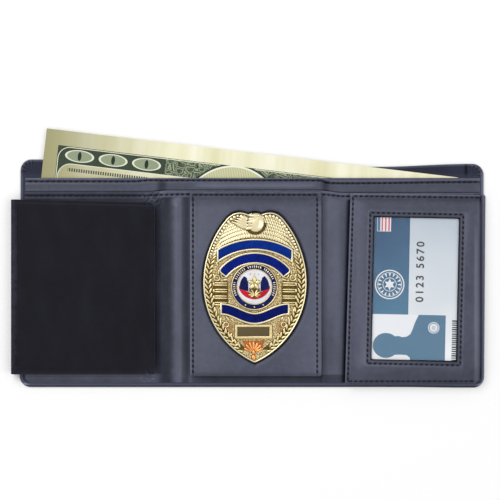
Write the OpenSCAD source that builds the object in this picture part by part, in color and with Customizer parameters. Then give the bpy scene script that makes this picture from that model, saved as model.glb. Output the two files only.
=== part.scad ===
// Badge wallet with three panels, lying open on its outer cover.
// +X runs to the right panel, +Y to the open top of the bill compartment,
// +Z out of the inside faces. The origin is the middle of the centre panel's
// outer face.

/* [Panels] */
// Height of the open wallet, top edge to bottom edge
wallet_h = 108; // [104:1:116]
// Width of the left panel, outer edge to fold
left_panel_w = 60.5; // [58:0.5:64]
// Width of the fold between the left and centre panels
left_fold_w = 20; // [20:0.5:24]
// Width of the centre panel
centre_panel_w = 62.2; // [60:0.2:66]
// Width of the fold between the centre and right panels
right_fold_w = 13.6; // [13:0.2:18]
// Width of the right panel, fold to outer edge
right_panel_w = 63.8; // [63:0.2:68]
// Radius of the cover's outer corners
corner_r = 5.2; // [4:0.1:6]
// Rim of the cover that stands out past the inner layers
rim_w = 2; // [1.6:0.1:2.4]

/* [Leather] */
// Thickness of the outer cover
cover_t = 1; // [0.8:0.1:1.4]
// Thickness of the compartment's lining
lining_t = 0.3; // [0.2:0.1:0.5]
// Thickness of the compartment's inner wall
wall_t = 0.7; // [0.5:0.1:1]
// Thickness of the facing that the panels are sewn to
facing_t = 0.7; // [0.5:0.1:1]
// Distance from the cover's top edge down to the inner wall's top edge
wall_drop = 9.2; // [7:0.1:10]
// Distance from the inner wall's top edge down to the facing's top edge
facing_drop = 5.7; // [4:0.1:6]
// Height of the soft ridge in the left fold
ridge_h = 1.2; // [0.8:0.1:1.4]
// Width of the soft ridge in the left fold
ridge_w = 7; // [5:0.5:8]

/* [Bill compartment] */
// Free height inside the compartment
bill_gap = 0.4; // [0.3:0.1:0.8]
// Width of the glued seam at the compartment's sides and bottom
seam_w = 1.6; // [1.2:0.1:2]
// Length of the banknote
note_l = 196.8; // [190:0.2:198]
// Height of the banknote
note_h = 70; // [60:1:70]
// Thickness of the banknote
note_t = 0.12; // [0.1:0.01:0.2]
// Tilt of the banknote
note_tilt = 6.8; // [6:0.1:7]

/* [Card pockets] */
// Thickness of a card pocket
pocket_t = 0.5; // [0.4:0.1:0.6]
// Step from one card pocket's top edge to the next
pocket_step = 9; // [7:0.5:11]
// Distance from the facing's top edge down to the highest pocket's top edge
pocket_drop = 11; // [9:0.5:14]

/* [Flap] */
// Height of the flap
flap_h = 82.7; // [78:0.1:84]
// Distance from the cover's top edge down to the flap
flap_drop = 19.2; // [18:0.1:22]
// How far the flap reaches over the left fold
flap_reach = 3.2; // [2:0.1:4]
// Gap between the card pockets and the flap
flap_gap = 0.5; // [0.4:0.1:0.8]
// Thickness of the flap's cover
flap_cover_t = 0.6; // [0.4:0.1:0.8]
// Thickness of the flap's stiffening board
flap_board_t = 0.4; // [0.3:0.1:0.6]
// Thickness of the flap's lining
flap_lining_t = 0.6; // [0.4:0.1:0.8]
// Distance from the cover's left edge to the flap's hinge line
flap_hinge_gap = 1.2; // [1:0.1:2]

/* [Badge panel] */
// Thickness of the board under the badge panel
badge_board_t = 1.4; // [1:0.1:1.8]
// Thickness of the badge panel's leather
badge_panel_t = 0.9; // [0.7:0.1:1.2]
// Strip of facing left bare below the badge panel
badge_panel_rise = 3.2; // [2:0.1:4]
// Gap round the badge in its cut-out
badge_gap = 1; // [0.6:0.1:1.4]
// Thickness of the felt behind the badge
backing_t = 0.3; // [0.2:0.1:0.5]

/* [Badge] */
// Width of the badge at its widest
badge_w = 48.9; // [46:0.1:50]
// Height of the badge's widest place over the wallet's middle
badge_mid_y = -4.7; // [-6:0.1:-3]
// Distance of the badge to the left of the panel's middle
badge_left = 0.5; // [0:0.1:0.8]
// Radius of the two long arcs that meet in the badge's point
badge_low_r = 41.4; // [40:0.1:43]
// Radius of the two arcs of the badge's upper sides
badge_up_r = 47; // [46:0.5:50]
// Height of the badge's shoulders over its widest place
badge_shoulder_h = 30.8; // [30:0.1:31]
// Thickness of the stamped badge body
badge_t = 1.8; // [1.6:0.1:2.2]
// Thickness of the stamped metal
badge_metal_t = 0.6; // [0.4:0.1:0.7]
// Width of the raised rim round the badge
badge_rim_w = 0.9; // [0.7:0.1:1.1]
// Height of the raised rim and of the first layer of relief
relief_h = 0.5; // [0.3:0.1:0.7]
// Height of the enamel in its frames
enamel_h = 0.8; // [0.5:0.1:0.9]
// Width of the gold frame round the enamel
frame_w = 0.35; // [0.25:0.05:0.4]
// Height of the banners' gold frames
frame_h = 1; // [0.8:0.1:1.2]
// Outer radius of the seal
seal_r = 10.8; // [10:0.1:10.9]
// Radius of the seal's white disc
seal_disc_r = 8.3; // [7.5:0.1:8.6]
// Width of the number plate
number_w = 15.2; // [12:0.1:16]
// Height of the number plate
number_h = 4.4; // [3:0.1:4.6]

/* [Window panel] */
// Thickness of the window panel's leather
window_t = 0.9; // [0.7:0.1:1.2]
// Distance from the facing's top edge down to the window panel's top edge
window_drop = 1.5; // [1:0.1:3]
// Width of the window
window_w = 40; // [38:0.5:42]
// Height of the window
window_h = 67.3; // [64:0.1:68]
// Thickness of the clear pane
pane_t = 0.25; // [0.2:0.05:0.4]
// Overlap of the pane behind the leather round the window
pane_lap = 3; // [2:0.1:4]
// Width of the card
card_w = 54; // [52:0.5:54]
// Length of the card
card_l = 85.6; // [82:0.1:85.6]
// Thickness of the card
card_t = 0.76; // [0.5:0.02:0.9]
// Radius of the card's corners
card_r = 3.2; // [2:0.1:4]
// Clearance of the card above and below in its pocket
card_clear = 0.1; // [0.1:0.05:0.3]

/* [Stitches] */
// Distance from one stitch to the next
stitch_pitch = 2.65; // [2.2:0.05:3.5]
// Length of a stitch
stitch_l = 1.8; // [1.2:0.1:2]
// Width of a stitch
stitch_w = 0.5; // [0.4:0.05:0.7]
// Height of a stitch over the leather
stitch_h = 0.22; // [0.15:0.01:0.3]
// Distance of a stitch row from the edge beside it
stitch_inset = 1.4; // [1.1:0.1:2]

/* [Hidden] */
$fn = 96;

// One overrun serves every cut
over = 1;

leather = [0.23, 0.24, 0.29];
leather_dark = [0.18, 0.18, 0.24];
flap_black = [0.12, 0.12, 0.14];
thread = [0.11, 0.11, 0.15];
board_grey = [0.45, 0.44, 0.42];
gold = [0.85, 0.75, 0.42];
enamel_blue = [0.04, 0.12, 0.56];
enamel_navy = [0.1, 0.13, 0.4];
plate_brown = [0.43, 0.37, 0.22];
steel = [0.75, 0.75, 0.77];

// Places across the wallet
left_fold_in = -centre_panel_w / 2;
left_fold_out = left_fold_in - left_fold_w;
left_edge = left_fold_out - left_panel_w;
right_fold_in = centre_panel_w / 2;
right_fold_out = right_fold_in + right_fold_w;
right_edge = right_fold_out + right_panel_w;
left_inner = left_edge + rim_w;
right_inner = right_edge - rim_w;

// Places up the wallet
top_edge = wallet_h / 2;
bottom_edge = -wallet_h / 2;
bottom_inner = bottom_edge + rim_w;
lining_top = top_edge - rim_w;
wall_top = top_edge - wall_drop;
facing_top = wall_top - facing_drop;
inner_r = corner_r - rim_w;

// Heights of the layers
lining_z = cover_t;
bill_z = lining_z + lining_t;
wall_z = bill_z + bill_gap;
facing_z = wall_z + wall_t;
panel_z = facing_z + facing_t;

// Flap, rolled over the cover's left edge
pocket_count = 3;
flap_z = panel_z + pocket_count * pocket_t + flap_gap;
flap_board_z = flap_z + flap_lining_t;
flap_cover_z = flap_board_z + flap_board_t;
flap_top_z = flap_cover_z + flap_cover_t;
flap_roll_r = flap_top_z / 2;
flap_hinge_x = left_edge - flap_hinge_gap;
flap_free_x = left_fold_out + flap_reach;
flap_top = top_edge - flap_drop;
flap_low = flap_top - flap_h;
flap_corner_r = 1.5;
flap_board_inset = 2.5;

// Card pockets
pocket_gap_in = 1;
pocket_left = left_inner + pocket_gap_in;
pocket_right = left_fold_out - pocket_gap_in;
pocket_top = facing_top - pocket_drop;

// Badge
badge_x = -badge_left;
backing_z = panel_z;
badge_z = backing_z + backing_t;
badge_face_z = badge_z + badge_t;
cavity_h = badge_t - badge_metal_t;
backing_inset = 1.2;
lobe_r = 7.8;
lobe_x = 7.06;
lobe_rise = 25.6;
lobe_y = badge_mid_y + lobe_rise;
head_r = 6;
head_rise = 27.2;
head_y = badge_mid_y + head_rise;
board_inset = 0.8;

// Banners: two arc bands, each about its own centre, and a wavy one
banner_h = 4.1;
top_banner_r = 33.9;
top_banner_rise = 20.3;
top_banner_y = badge_mid_y + top_banner_rise;
top_banner_half_w = 17.3;
middle_banner_r = 21.4;
middle_banner_rise = 13.9;
middle_banner_y = badge_mid_y + middle_banner_rise;
middle_banner_angle = 47;
low_banner_drop = 16.8;
low_banner_y = badge_mid_y - low_banner_drop;
low_banner_rise = 4.5;
low_banner_half_w = 15.7;
low_banner_steps = 24;

// Seal, its star and the number plate
seal_left = 0.2;
seal_drop = 1.8;
seal_x = badge_x - seal_left;
seal_y = badge_mid_y - seal_drop;
seal_ring_h = 1.2;
seal_disc_h = 1;
star_r = 4.2;
star_waist_share = 0.42;
star_h = 0.4;
number_left = 0.7;
number_drop = 23;
number_x = badge_x - number_left;
number_y = badge_mid_y - number_drop;
number_frame_w = 1.2;
number_plate_h = 0.4;
number_frame_h = 0.8;

// Eagle
wing_h = 0.45;
feather_w = 1.7;
feather_h = 0.35;
feather_l = 6.2;
feather_count = 8;
feather_pitch = 2.1;
feather_first_x = 2.8;
covert_l = 4.6;
covert_count = 6;
covert_foot = 6.4;
covert_first_x = 3.4;
// Lean of a feather at the badge's side, in degrees
feather_lean = 46;
feather_foot = 1.4;
wing_bone_w = 1.3;
head_dome_r = 4.5;
head_dome_h = 1.5;

// Leaf border and ribs
leaf_l = 3.9;
leaf_w = 1.7;
leaf_count = 11;
leaf_inset = 2.3;
leaf_turn = 5.4;
leaf_lean = 14;
leaf_first_turn = 11;
rib_count = 5;
rib_w = 7.2;
rib_t = 0.8;
rib_pitch = 1.7;
rib_x = 15.4;
rib_drop = 1.9;
rib_y = badge_mid_y - rib_drop;
volute_r = 1.7;
volute_hole_r = 0.7;
volute_rise = 1.4;
volute_y = badge_mid_y + volute_rise;

// Pin on the badge's back
pin_r = 0.4;
pin_l = 34;
pin_gap = 0.05;
pin_rise = 9;
pin_z = badge_z + cavity_h / 2;
pin_y = badge_mid_y + pin_rise;
pin_block_w = 3;
pin_block_h = 5;

// Window panel and its card
window_top = facing_top - window_drop;
window_shift = 0.4;
window_x = (right_fold_out + right_inner) / 2 + window_shift;
window_y = -7.55;
card_z = panel_z + card_clear;
card_side_gap = 0.4;
card_y = bottom_inner + seam_w + card_side_gap + card_l / 2;
pane_z = card_z + card_t + card_clear;
window_z = pane_z + pane_t;
window_top_z = window_z + window_t;
window_stitch_gap = 2;

// Banknote, given by its top left corner
note_x = -99.3;
note_y = 68.7;
note_lift = 0.1;

// Rows of stitches keep this far from a row's ends
stitch_end = 1.2;

// Fold axes: the right panel closes first, over the badge, and the left
// panel with its flap closes over it
fold_clear = 0.5;
badge_top_z = badge_face_z + head_dome_h + wing_h;
right_axis_x = (right_fold_in + right_fold_out) / 2;
right_axis_z = (window_top_z + badge_top_z + fold_clear) / 2;
left_axis_x = (left_fold_in + left_fold_out) / 2;
left_axis_z = (2 * right_axis_z + flap_top_z + fold_clear) / 2;
echo(right_axis_x = right_axis_x, right_axis_z = right_axis_z);
echo(left_axis_x = left_axis_x, left_axis_z = left_axis_z);
echo(flap_hinge_x = flap_hinge_x, flap_roll_r = flap_roll_r, badge_top_z = badge_top_z);

// A flat sheet between two places across and two places up the wallet
module sheet(x0, x1, y0, y1, z, t) {
    translate([min(x0, x1), y0, z])
        cube([abs(x1 - x0), y1 - y0, t]);
}

// A flat sheet whose two corners at x1 are round
module end_sheet(x0, x1, y0, y1, z, t, r) {
    side = sign(x1 - x0);
    sheet(x0, x1 - side * r, y0, y1, z, t);
    sheet(x1 - side * r, x1, y0 + r, y1 - r, z, t);
    for (y = [y0 + r, y1 - r])
        translate([x1 - side * r, y, z])
            cylinder(r = r, h = t);
}

// The rounded, turned edge along the top of a sheet
module hem(x0, x1, y, z, t) {
    translate([x0, y, z + t / 2])
        rotate([0, 90, 0])
            cylinder(d = t, h = x1 - x0);
}

// A row of stitches along X, centred between its ends
module stitches_across(x0, x1, y, z) {
    room = x1 - x0 - 2 * stitch_end;
    last = floor((room - stitch_l) / stitch_pitch);
    start = (x0 + x1 - last * stitch_pitch) / 2;
    for (i = [0 : last])
        translate([start + i * stitch_pitch - stitch_l / 2, y - stitch_w / 2, z])
            cube([stitch_l, stitch_w, stitch_h]);
}

// A row of stitches along Y, centred between its ends
module stitches_up(x, y0, y1, z) {
    room = y1 - y0 - 2 * stitch_end;
    last = floor((room - stitch_l) / stitch_pitch);
    start = (y0 + y1 - last * stitch_pitch) / 2;
    for (i = [0 : last])
        translate([x - stitch_w / 2, start + i * stitch_pitch - stitch_l / 2, z])
            cube([stitch_w, stitch_l, stitch_h]);
}

// Outer cover
module cover_left() {
    color(leather)
        end_sheet(left_fold_out, left_edge, bottom_edge, top_edge, 0, cover_t, corner_r);
}

module cover_centre() {
    color(leather)
        sheet(left_fold_in, right_fold_in, bottom_edge, top_edge, 0, cover_t);
}

module cover_right() {
    color(leather)
        end_sheet(right_fold_out, right_edge, bottom_edge, top_edge, 0, cover_t, corner_r);
}

module cover_fold_left() {
    color(leather)
        sheet(left_fold_out, left_fold_in, bottom_edge, top_edge, 0, cover_t);
}

module cover_fold_right() {
    color(leather)
        sheet(right_fold_in, right_fold_out, bottom_edge, top_edge, 0, cover_t);
}

// Lining of the bill compartment
module lining_left() {
    color(leather_dark)
        end_sheet(left_fold_out, left_inner, bottom_inner, lining_top, lining_z, lining_t, inner_r);
}

module lining_centre() {
    color(leather_dark)
        sheet(left_fold_in, right_fold_in, bottom_inner, lining_top, lining_z, lining_t);
}

module lining_right() {
    color(leather_dark)
        end_sheet(right_fold_out, right_inner, bottom_inner, lining_top, lining_z, lining_t, inner_r);
}

module lining_fold_left() {
    color(leather_dark)
        sheet(left_fold_out, left_fold_in, bottom_inner, lining_top, lining_z, lining_t);
}

module lining_fold_right() {
    color(leather_dark)
        sheet(right_fold_in, right_fold_out, bottom_inner, lining_top, lining_z, lining_t);
}

// Inner wall: a sheet with a hemmed top, on seam strips at its glued edges
module wall_piece(x0, x1) {
    sheet(x0, x1, bottom_inner, wall_top, wall_z, wall_t);
    hem(min(x0, x1), max(x0, x1), wall_top, wall_z, wall_t);
    sheet(x0, x1, bottom_inner, bottom_inner + seam_w, bill_z, bill_gap);
}

module wall_end(fold_x, end_x) {
    side = sign(end_x - fold_x);
    straight_x = end_x - side * inner_r;
    wall_piece(fold_x, straight_x);
    sheet(straight_x, end_x, bottom_inner + inner_r, wall_top, wall_z, wall_t);
    translate([straight_x, bottom_inner + inner_r, wall_z])
        cylinder(r = inner_r, h = wall_t);
    sheet(end_x - side * seam_w, end_x, bottom_inner + inner_r, wall_top, bill_z, bill_gap);
}

module inner_wall_left() {
    color(leather)
        wall_end(left_fold_out, left_inner);
}

module inner_wall_centre() {
    color(leather)
        wall_piece(left_fold_in, right_fold_in);
}

module inner_wall_right() {
    color(leather)
        wall_end(right_fold_out, right_inner);
}

module inner_wall_fold_left() {
    color(leather)
        wall_piece(left_fold_out, left_fold_in);
}

module inner_wall_fold_right() {
    color(leather)
        wall_piece(right_fold_in, right_fold_out);
}

// Facing, on which the pockets, the badge panel and the window panel are sewn
module facing_piece(x0, x1) {
    sheet(x0, x1, bottom_inner, facing_top, facing_z, facing_t);
    hem(min(x0, x1), max(x0, x1), facing_top, facing_z, facing_t);
}

module facing_end(fold_x, end_x) {
    side = sign(end_x - fold_x);
    straight_x = end_x - side * inner_r;
    facing_piece(fold_x, straight_x);
    sheet(straight_x, end_x, bottom_inner + inner_r, facing_top, facing_z, facing_t);
    translate([straight_x, bottom_inner + inner_r, facing_z])
        cylinder(r = inner_r, h = facing_t);
}

module facing_left() {
    color(leather)
        facing_end(left_fold_out, left_inner);
}

module facing_centre() {
    color(leather)
        facing_piece(left_fold_in, right_fold_in);
}

module facing_right() {
    color(leather)
        facing_end(right_fold_out, right_inner);
}

// The left fold's facing rises in one soft ridge beside the centre panel
module facing_fold_left() {
    ridge_r = (ridge_w * ridge_w / 4 + ridge_h * ridge_h) / (2 * ridge_h);
    ridge_x = left_fold_in - ridge_w / 2 - stitch_inset;
    ridge_top = facing_top - 2 * stitch_inset;
    color(leather) {
        facing_piece(left_fold_out, left_fold_in);
        intersection() {
            translate([ridge_x, bottom_inner, panel_z + ridge_h - ridge_r])
                rotate([-90, 0, 0])
                    cylinder(r = ridge_r, h = ridge_top - bottom_inner);
            sheet(left_fold_out, left_fold_in, bottom_inner, ridge_top, facing_z, facing_t + ridge_h);
        }
    }
}

module facing_fold_right() {
    color(leather)
        facing_piece(right_fold_in, right_fold_out);
}

// Three stepped card pockets under the flap, the back one highest
module card_pocket(level) {
    top = pocket_top - level * pocket_step;
    z = panel_z + level * pocket_t;
    color(leather) {
        sheet(pocket_left, pocket_right, bottom_inner + inner_r, top, z, pocket_t);
        hem(pocket_left, pocket_right, top, z, pocket_t);
    }
}

module card_pocket_back() {
    card_pocket(0);
}

module card_pocket_middle() {
    card_pocket(1);
}

module card_pocket_front() {
    card_pocket(2);
}

// Flap's roll: half a ring round the hinge line, joined to the cover's edge
module flap_roll() {
    color(flap_black) {
        translate([flap_hinge_x, flap_low, flap_roll_r])
            rotate([-90, 0, 0])
                difference() {
                    cylinder(r = flap_roll_r, h = flap_h);
                    translate([0, 0, -over])
                        cylinder(r = flap_roll_r - cover_t, h = flap_h + 2 * over);
                    translate([0, -flap_roll_r - over, -over])
                        cube([flap_roll_r + over, 2 * (flap_roll_r + over), flap_h + 2 * over]);
                }
        sheet(flap_hinge_x, left_edge, flap_low, flap_top, 0, cover_t);
    }
}

module flap_cover() {
    color(flap_black)
        end_sheet(flap_hinge_x, flap_free_x, flap_low, flap_top, flap_cover_z, flap_cover_t,
            flap_corner_r);
}

module flap_board() {
    color(board_grey)
        sheet(flap_hinge_x + flap_board_inset, flap_free_x - flap_board_inset,
            flap_low + flap_board_inset, flap_top - flap_board_inset, flap_board_z, flap_board_t);
}

module flap_lining() {
    color(leather_dark)
        end_sheet(flap_hinge_x, flap_free_x, flap_low, flap_top, flap_z, flap_lining_t,
            flap_corner_r);
}

// Two wide arcs either side of the badge's middle line
module badge_sides(r, grow) {
    intersection_for (side = [-1, 1])
        translate([side * (r - badge_w / 2), badge_mid_y])
            circle(r = r + grow);
}

// The badge's outline, or one that runs beside it
module badge_outline(grow = 0) {
    translate([badge_x, 0]) {
        intersection() {
            badge_sides(badge_low_r, grow);
            translate([-badge_w, badge_mid_y - badge_w])
                square([2 * badge_w, badge_w]);
        }
        intersection() {
            badge_sides(badge_up_r, grow);
            translate([-badge_w, badge_mid_y])
                square([2 * badge_w, badge_shoulder_h]);
        }
        for (side = [-1, 1])
            translate([side * lobe_x, lobe_y])
                circle(r = lobe_r + grow);
        translate([0, head_y])
            circle(r = head_r + grow);
    }
}

module badge_board() {
    color(board_grey)
        difference() {
            sheet(left_fold_in + board_inset, right_fold_in - board_inset,
                bottom_inner + badge_panel_rise + board_inset, facing_top - board_inset,
                panel_z, badge_board_t);
            translate([0, 0, panel_z - over])
                linear_extrude(badge_board_t + 2 * over)
                    badge_outline(badge_gap);
        }
}

module badge_panel() {
    z = panel_z + badge_board_t;
    color(leather)
        difference() {
            sheet(left_fold_in, right_fold_in, bottom_inner + badge_panel_rise, facing_top, z,
                badge_panel_t);
            translate([0, 0, z - over])
                linear_extrude(badge_panel_t + 2 * over)
                    badge_outline(badge_gap);
        }
}

module badge_backing() {
    color(leather_dark)
        translate([0, 0, backing_z])
            linear_extrude(backing_t)
                badge_outline(-backing_inset);
}

// Stamped body, hollow behind, with a raised rim in front
module badge_shell() {
    color(gold)
        difference() {
            translate([0, 0, badge_z])
                linear_extrude(badge_t + relief_h)
                    badge_outline();
            translate([0, 0, badge_face_z])
                linear_extrude(relief_h + over)
                    badge_outline(-badge_rim_w);
            translate([0, 0, badge_z - over])
                linear_extrude(cavity_h + over)
                    badge_outline(-badge_rim_w);
        }
}

// Height of the top banner's frame over a place beside the middle line
function top_frame_y(x) =
    top_banner_y - top_banner_r + sqrt(pow(top_banner_r + frame_w, 2) - x * x);

// A feather with round ends, hanging from its root at the top
module feather(x, foot_y, l) {
    translate([x, foot_y])
        rotate(x / (badge_w / 2) * feather_lean) {
            translate([-feather_w / 2, feather_w / 2])
                square([feather_w, l - feather_w]);
            for (y = [feather_w / 2, l - feather_w / 2])
                translate([0, y])
                    circle(d = feather_w);
        }
}

// A row of feathers on both wings, clear of the badge's rim
module feather_row(count, first_x, foot, l) {
    intersection() {
        badge_outline(-badge_rim_w);
        translate([badge_x, 0])
            for (side = [0, 1], i = [0 : count - 1]) {
                x = first_x + i * feather_pitch;
                mirror([side, 0])
                    feather(x, top_frame_y(x) + foot, l);
            }
    }
}

// Upper edge of a wing, along the badge's shoulder
module wing_bone() {
    intersection() {
        difference() {
            circle(r = lobe_r - badge_rim_w);
            circle(r = lobe_r - badge_rim_w - wing_bone_w);
        }
        translate([-lobe_r, 0])
            square([2 * lobe_r, lobe_r]);
    }
}

// Eagle: two wings with two rows of feathers each, and a domed head
module badge_crest() {
    color(gold) {
        translate([0, 0, badge_face_z])
            linear_extrude(wing_h)
                feather_row(feather_count, feather_first_x, feather_foot, feather_l);
        translate([0, 0, badge_face_z])
            linear_extrude(wing_h + feather_h) {
                feather_row(covert_count, covert_first_x, covert_foot, covert_l);
                intersection() {
                    badge_outline(-badge_rim_w);
                    for (side = [-1, 1])
                        translate([badge_x + side * lobe_x, lobe_y])
                            wing_bone();
                }
            }
        head_dome();
    }
}

// Cap of a ball whose height and width are those of the eagle's head
module head_dome() {
    ball_r = (head_dome_r * head_dome_r + head_dome_h * head_dome_h) / (2 * head_dome_h);
    base_z = badge_face_z + wing_h;
    translate([badge_x, head_y - badge_rim_w, base_z])
        difference() {
            translate([0, 0, head_dome_h - ball_r])
                sphere(r = ball_r);
            translate([-2 * ball_r, -2 * ball_r, -4 * ball_r])
                cube([4 * ball_r, 4 * ball_r, 4 * ball_r]);
        }
    translate([badge_x, head_y - badge_rim_w, badge_face_z])
        cylinder(r = head_dome_r, h = wing_h);
}

// A leaf between two arcs
module leaf() {
    leaf_r = (leaf_l * leaf_l + leaf_w * leaf_w) / (4 * leaf_w);
    intersection_for (side = [-1, 1])
        translate([side * (leaf_r - leaf_w / 2), 0])
            circle(r = leaf_r);
}

// Leaves down both sides of the badge, and ribbed columns beside the seal
module badge_relief() {
    color(gold)
        translate([badge_x, 0, badge_face_z])
            linear_extrude(relief_h)
                for (side = [0, 1])
                    mirror([side, 0]) {
                        translate([badge_w / 2 - badge_low_r, badge_mid_y])
                            for (i = [0 : leaf_count - 1])
                                rotate(leaf_first_turn - i * leaf_turn)
                                    translate([badge_low_r - leaf_inset, 0])
                                        rotate(-leaf_lean)
                                            leaf();
                        for (i = [0 : rib_count - 1])
                            translate([rib_x - rib_w / 2, rib_y - i * rib_pitch - rib_t])
                                square([rib_w, rib_t]);
                        translate([rib_x, volute_y])
                            difference() {
                                circle(r = volute_r);
                                circle(r = volute_hole_r);
                            }
                    }
}

// A wedge that opens upwards from the origin, half_angle to each side
module wedge(half_angle, reach) {
    polygon([
        [0, 0],
        [reach * sin(half_angle), reach * cos(half_angle)],
        [reach * sin(half_angle / 2), reach * cos(half_angle / 2) + reach],
        [-reach * sin(half_angle / 2), reach * cos(half_angle / 2) + reach],
        [-reach * sin(half_angle), reach * cos(half_angle)]
    ]);
}

// Top banner: an arc with upright ends
module top_banner(grow = 0) {
    translate([badge_x, top_banner_y - top_banner_r])
        intersection() {
            difference() {
                circle(r = top_banner_r + grow);
                circle(r = top_banner_r - banner_h - grow);
            }
            translate([-top_banner_half_w - grow, 0])
                square([2 * (top_banner_half_w + grow), top_banner_r + banner_h]);
        }
}

// Middle banner: a steeper arc with round ends
module middle_banner(grow = 0) {
    mid_r = middle_banner_r - banner_h / 2;
    translate([badge_x, middle_banner_y - middle_banner_r]) {
        intersection() {
            difference() {
                circle(r = middle_banner_r + grow);
                circle(r = middle_banner_r - banner_h - grow);
            }
            wedge(middle_banner_angle, 2 * middle_banner_r);
        }
        for (side = [-1, 1])
            rotate(side * middle_banner_angle)
                translate([0, mid_r])
                    circle(d = banner_h + 2 * grow);
    }
}

// Middle line of the bottom banner: it dips in the middle and is level at its ends
function wave_y(x) =
    let (turn = 180 * min(abs(x), low_banner_half_w) / low_banner_half_w)
        low_banner_y + low_banner_rise / 2 * (1 - cos(turn));

function wave_slope(x) =
    let (turn = 180 * min(abs(x), low_banner_half_w) / low_banner_half_w)
        sign(x) * low_banner_rise / 2 * PI / low_banner_half_w * sin(turn);

// A point beside the middle line, square to it
function beside_wave(x, away) =
    let (slope = wave_slope(x), run = sqrt(1 + slope * slope))
        [x - away * slope / run, wave_y(x) + away / run];

// Bottom banner: the same height all along its wavy middle line
module bottom_banner(grow = 0) {
    half_w = low_banner_half_w + grow;
    step = half_w / low_banner_steps;
    away = banner_h / 2 + grow;
    translate([badge_x, 0])
        polygon([
            for (i = [-low_banner_steps : low_banner_steps])
                beside_wave(i * step, away),
            for (i = [-low_banner_steps : low_banner_steps])
                beside_wave(-i * step, -away)
        ]);
}

// Gold frames round the three enamel banners
module banner_frames() {
    color(gold)
        translate([0, 0, badge_face_z])
            linear_extrude(frame_h) {
                difference() {
                    top_banner(frame_w);
                    top_banner();
                }
                difference() {
                    middle_banner(frame_w);
                    middle_banner();
                }
                difference() {
                    bottom_banner(frame_w);
                    bottom_banner();
                }
            }
}

module enamel_top() {
    color(enamel_blue)
        translate([0, 0, badge_face_z])
            linear_extrude(enamel_h)
                top_banner();
}

module enamel_middle() {
    color(enamel_blue)
        translate([0, 0, badge_face_z])
            linear_extrude(enamel_h)
                middle_banner();
}

module enamel_bottom() {
    color(enamel_blue)
        translate([0, 0, badge_face_z])
            linear_extrude(enamel_h)
                bottom_banner();
}

// Round seal in the badge's middle
module seal_ring() {
    color(enamel_navy)
        translate([seal_x, seal_y, badge_face_z])
            difference() {
                cylinder(r = seal_r, h = seal_ring_h);
                translate([0, 0, -over])
                    cylinder(r = seal_disc_r, h = seal_ring_h + 2 * over);
            }
}

module seal_disc() {
    color("white")
        translate([seal_x, seal_y, badge_face_z])
            cylinder(r = seal_disc_r, h = seal_disc_h);
}

module seal_star() {
    points = 5;
    color(gold)
        translate([seal_x, seal_y, badge_face_z + seal_disc_h])
            linear_extrude(star_h)
                polygon([
                    for (i = [0 : 2 * points - 1])
                        let (r = i % 2 == 0 ? star_r : star_r * star_waist_share)
                            [r * sin(i * 180 / points), r * cos(i * 180 / points)]
                ]);
}

module number_frame() {
    frame_x = number_w / 2 + number_frame_w;
    frame_y = number_h / 2 + number_frame_w;
    color(gold)
        translate([number_x, number_y, badge_face_z])
            difference() {
                translate([-frame_x, -frame_y, 0])
                    cube([2 * frame_x, 2 * frame_y, number_frame_h]);
                translate([-number_w / 2, -number_h / 2, -over])
                    cube([number_w, number_h, number_frame_h + 2 * over]);
            }
}

module number_plate() {
    color(plate_brown)
        translate([number_x - number_w / 2, number_y - number_h / 2, badge_face_z])
            cube([number_w, number_h, number_plate_h]);
}

// Pin behind the badge, held closed between its hinge block and its catch
module badge_pin() {
    color(steel)
        translate([badge_x - pin_l / 2, pin_y, pin_z])
            rotate([0, 90, 0])
                cylinder(r = pin_r, h = pin_l);
}

// A block with a bore for the pin, under the badge's face
module pin_block() {
    difference() {
        translate([-pin_block_w / 2, -pin_block_h / 2, badge_z])
            cube([pin_block_w, pin_block_h, cavity_h]);
        translate([-pin_block_w, 0, pin_z])
            rotate([0, 90, 0])
                cylinder(r = pin_r + pin_gap, h = 2 * pin_block_w);
    }
}

module pin_hinge() {
    color(steel)
        translate([badge_x - pin_l / 2 + pin_block_w / 2, pin_y, 0])
            pin_block();
}

module pin_catch() {
    color(steel)
        translate([badge_x + pin_l / 2 - pin_block_w / 2, pin_y, 0])
            pin_block();
}

// The outline of the right panel's layers, with its lower outer corner round
module window_layer(z, t) {
    edge_x = right_inner - inner_r;
    corner_y = bottom_inner + inner_r;
    sheet(right_fold_out, edge_x, bottom_inner, window_top, z, t);
    sheet(edge_x, right_inner, corner_y, window_top, z, t);
    translate([edge_x, corner_y, z])
        cylinder(r = inner_r, h = t);
}

// Window panel: spacer on three sides, clear pane, leather with a window
module window_spacer() {
    color(leather_dark)
        difference() {
            window_layer(panel_z, pane_z - panel_z);
            sheet(window_x - card_w / 2 - card_side_gap, window_x + card_w / 2 + card_side_gap,
                bottom_inner + seam_w, window_top + over, panel_z - over,
                pane_z - panel_z + 2 * over);
        }
}

module window_pane() {
    color([0.8, 0.85, 0.9, 0.4])
        sheet(window_x - window_w / 2 - pane_lap, window_x + window_w / 2 + pane_lap,
            window_y - window_h / 2 - pane_lap, window_y + window_h / 2 + pane_lap,
            pane_z, pane_t);
}

module window_panel() {
    color(leather)
        difference() {
            union() {
                window_layer(window_z, window_t);
                hem(right_fold_out, right_inner, window_top, window_z, window_t);
            }
            sheet(window_x - window_w / 2, window_x + window_w / 2, window_y - window_h / 2,
                window_y + window_h / 2, window_z - over, window_t + 2 * over);
        }
}

// Card standing upright in the window pocket
module id_card() {
    color([0.85, 0.88, 0.91])
        translate([window_x, card_y, card_z]) {
            translate([-card_w / 2 + card_r, -card_l / 2, 0])
                cube([card_w - 2 * card_r, card_l, card_t]);
            translate([-card_w / 2, -card_l / 2 + card_r, 0])
                cube([card_w, card_l - 2 * card_r, card_t]);
            for (x = [-1, 1], y = [-1, 1])
                translate([x * (card_w / 2 - card_r), y * (card_l / 2 - card_r), 0])
                    cylinder(r = card_r, h = card_t);
        }
}

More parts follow.
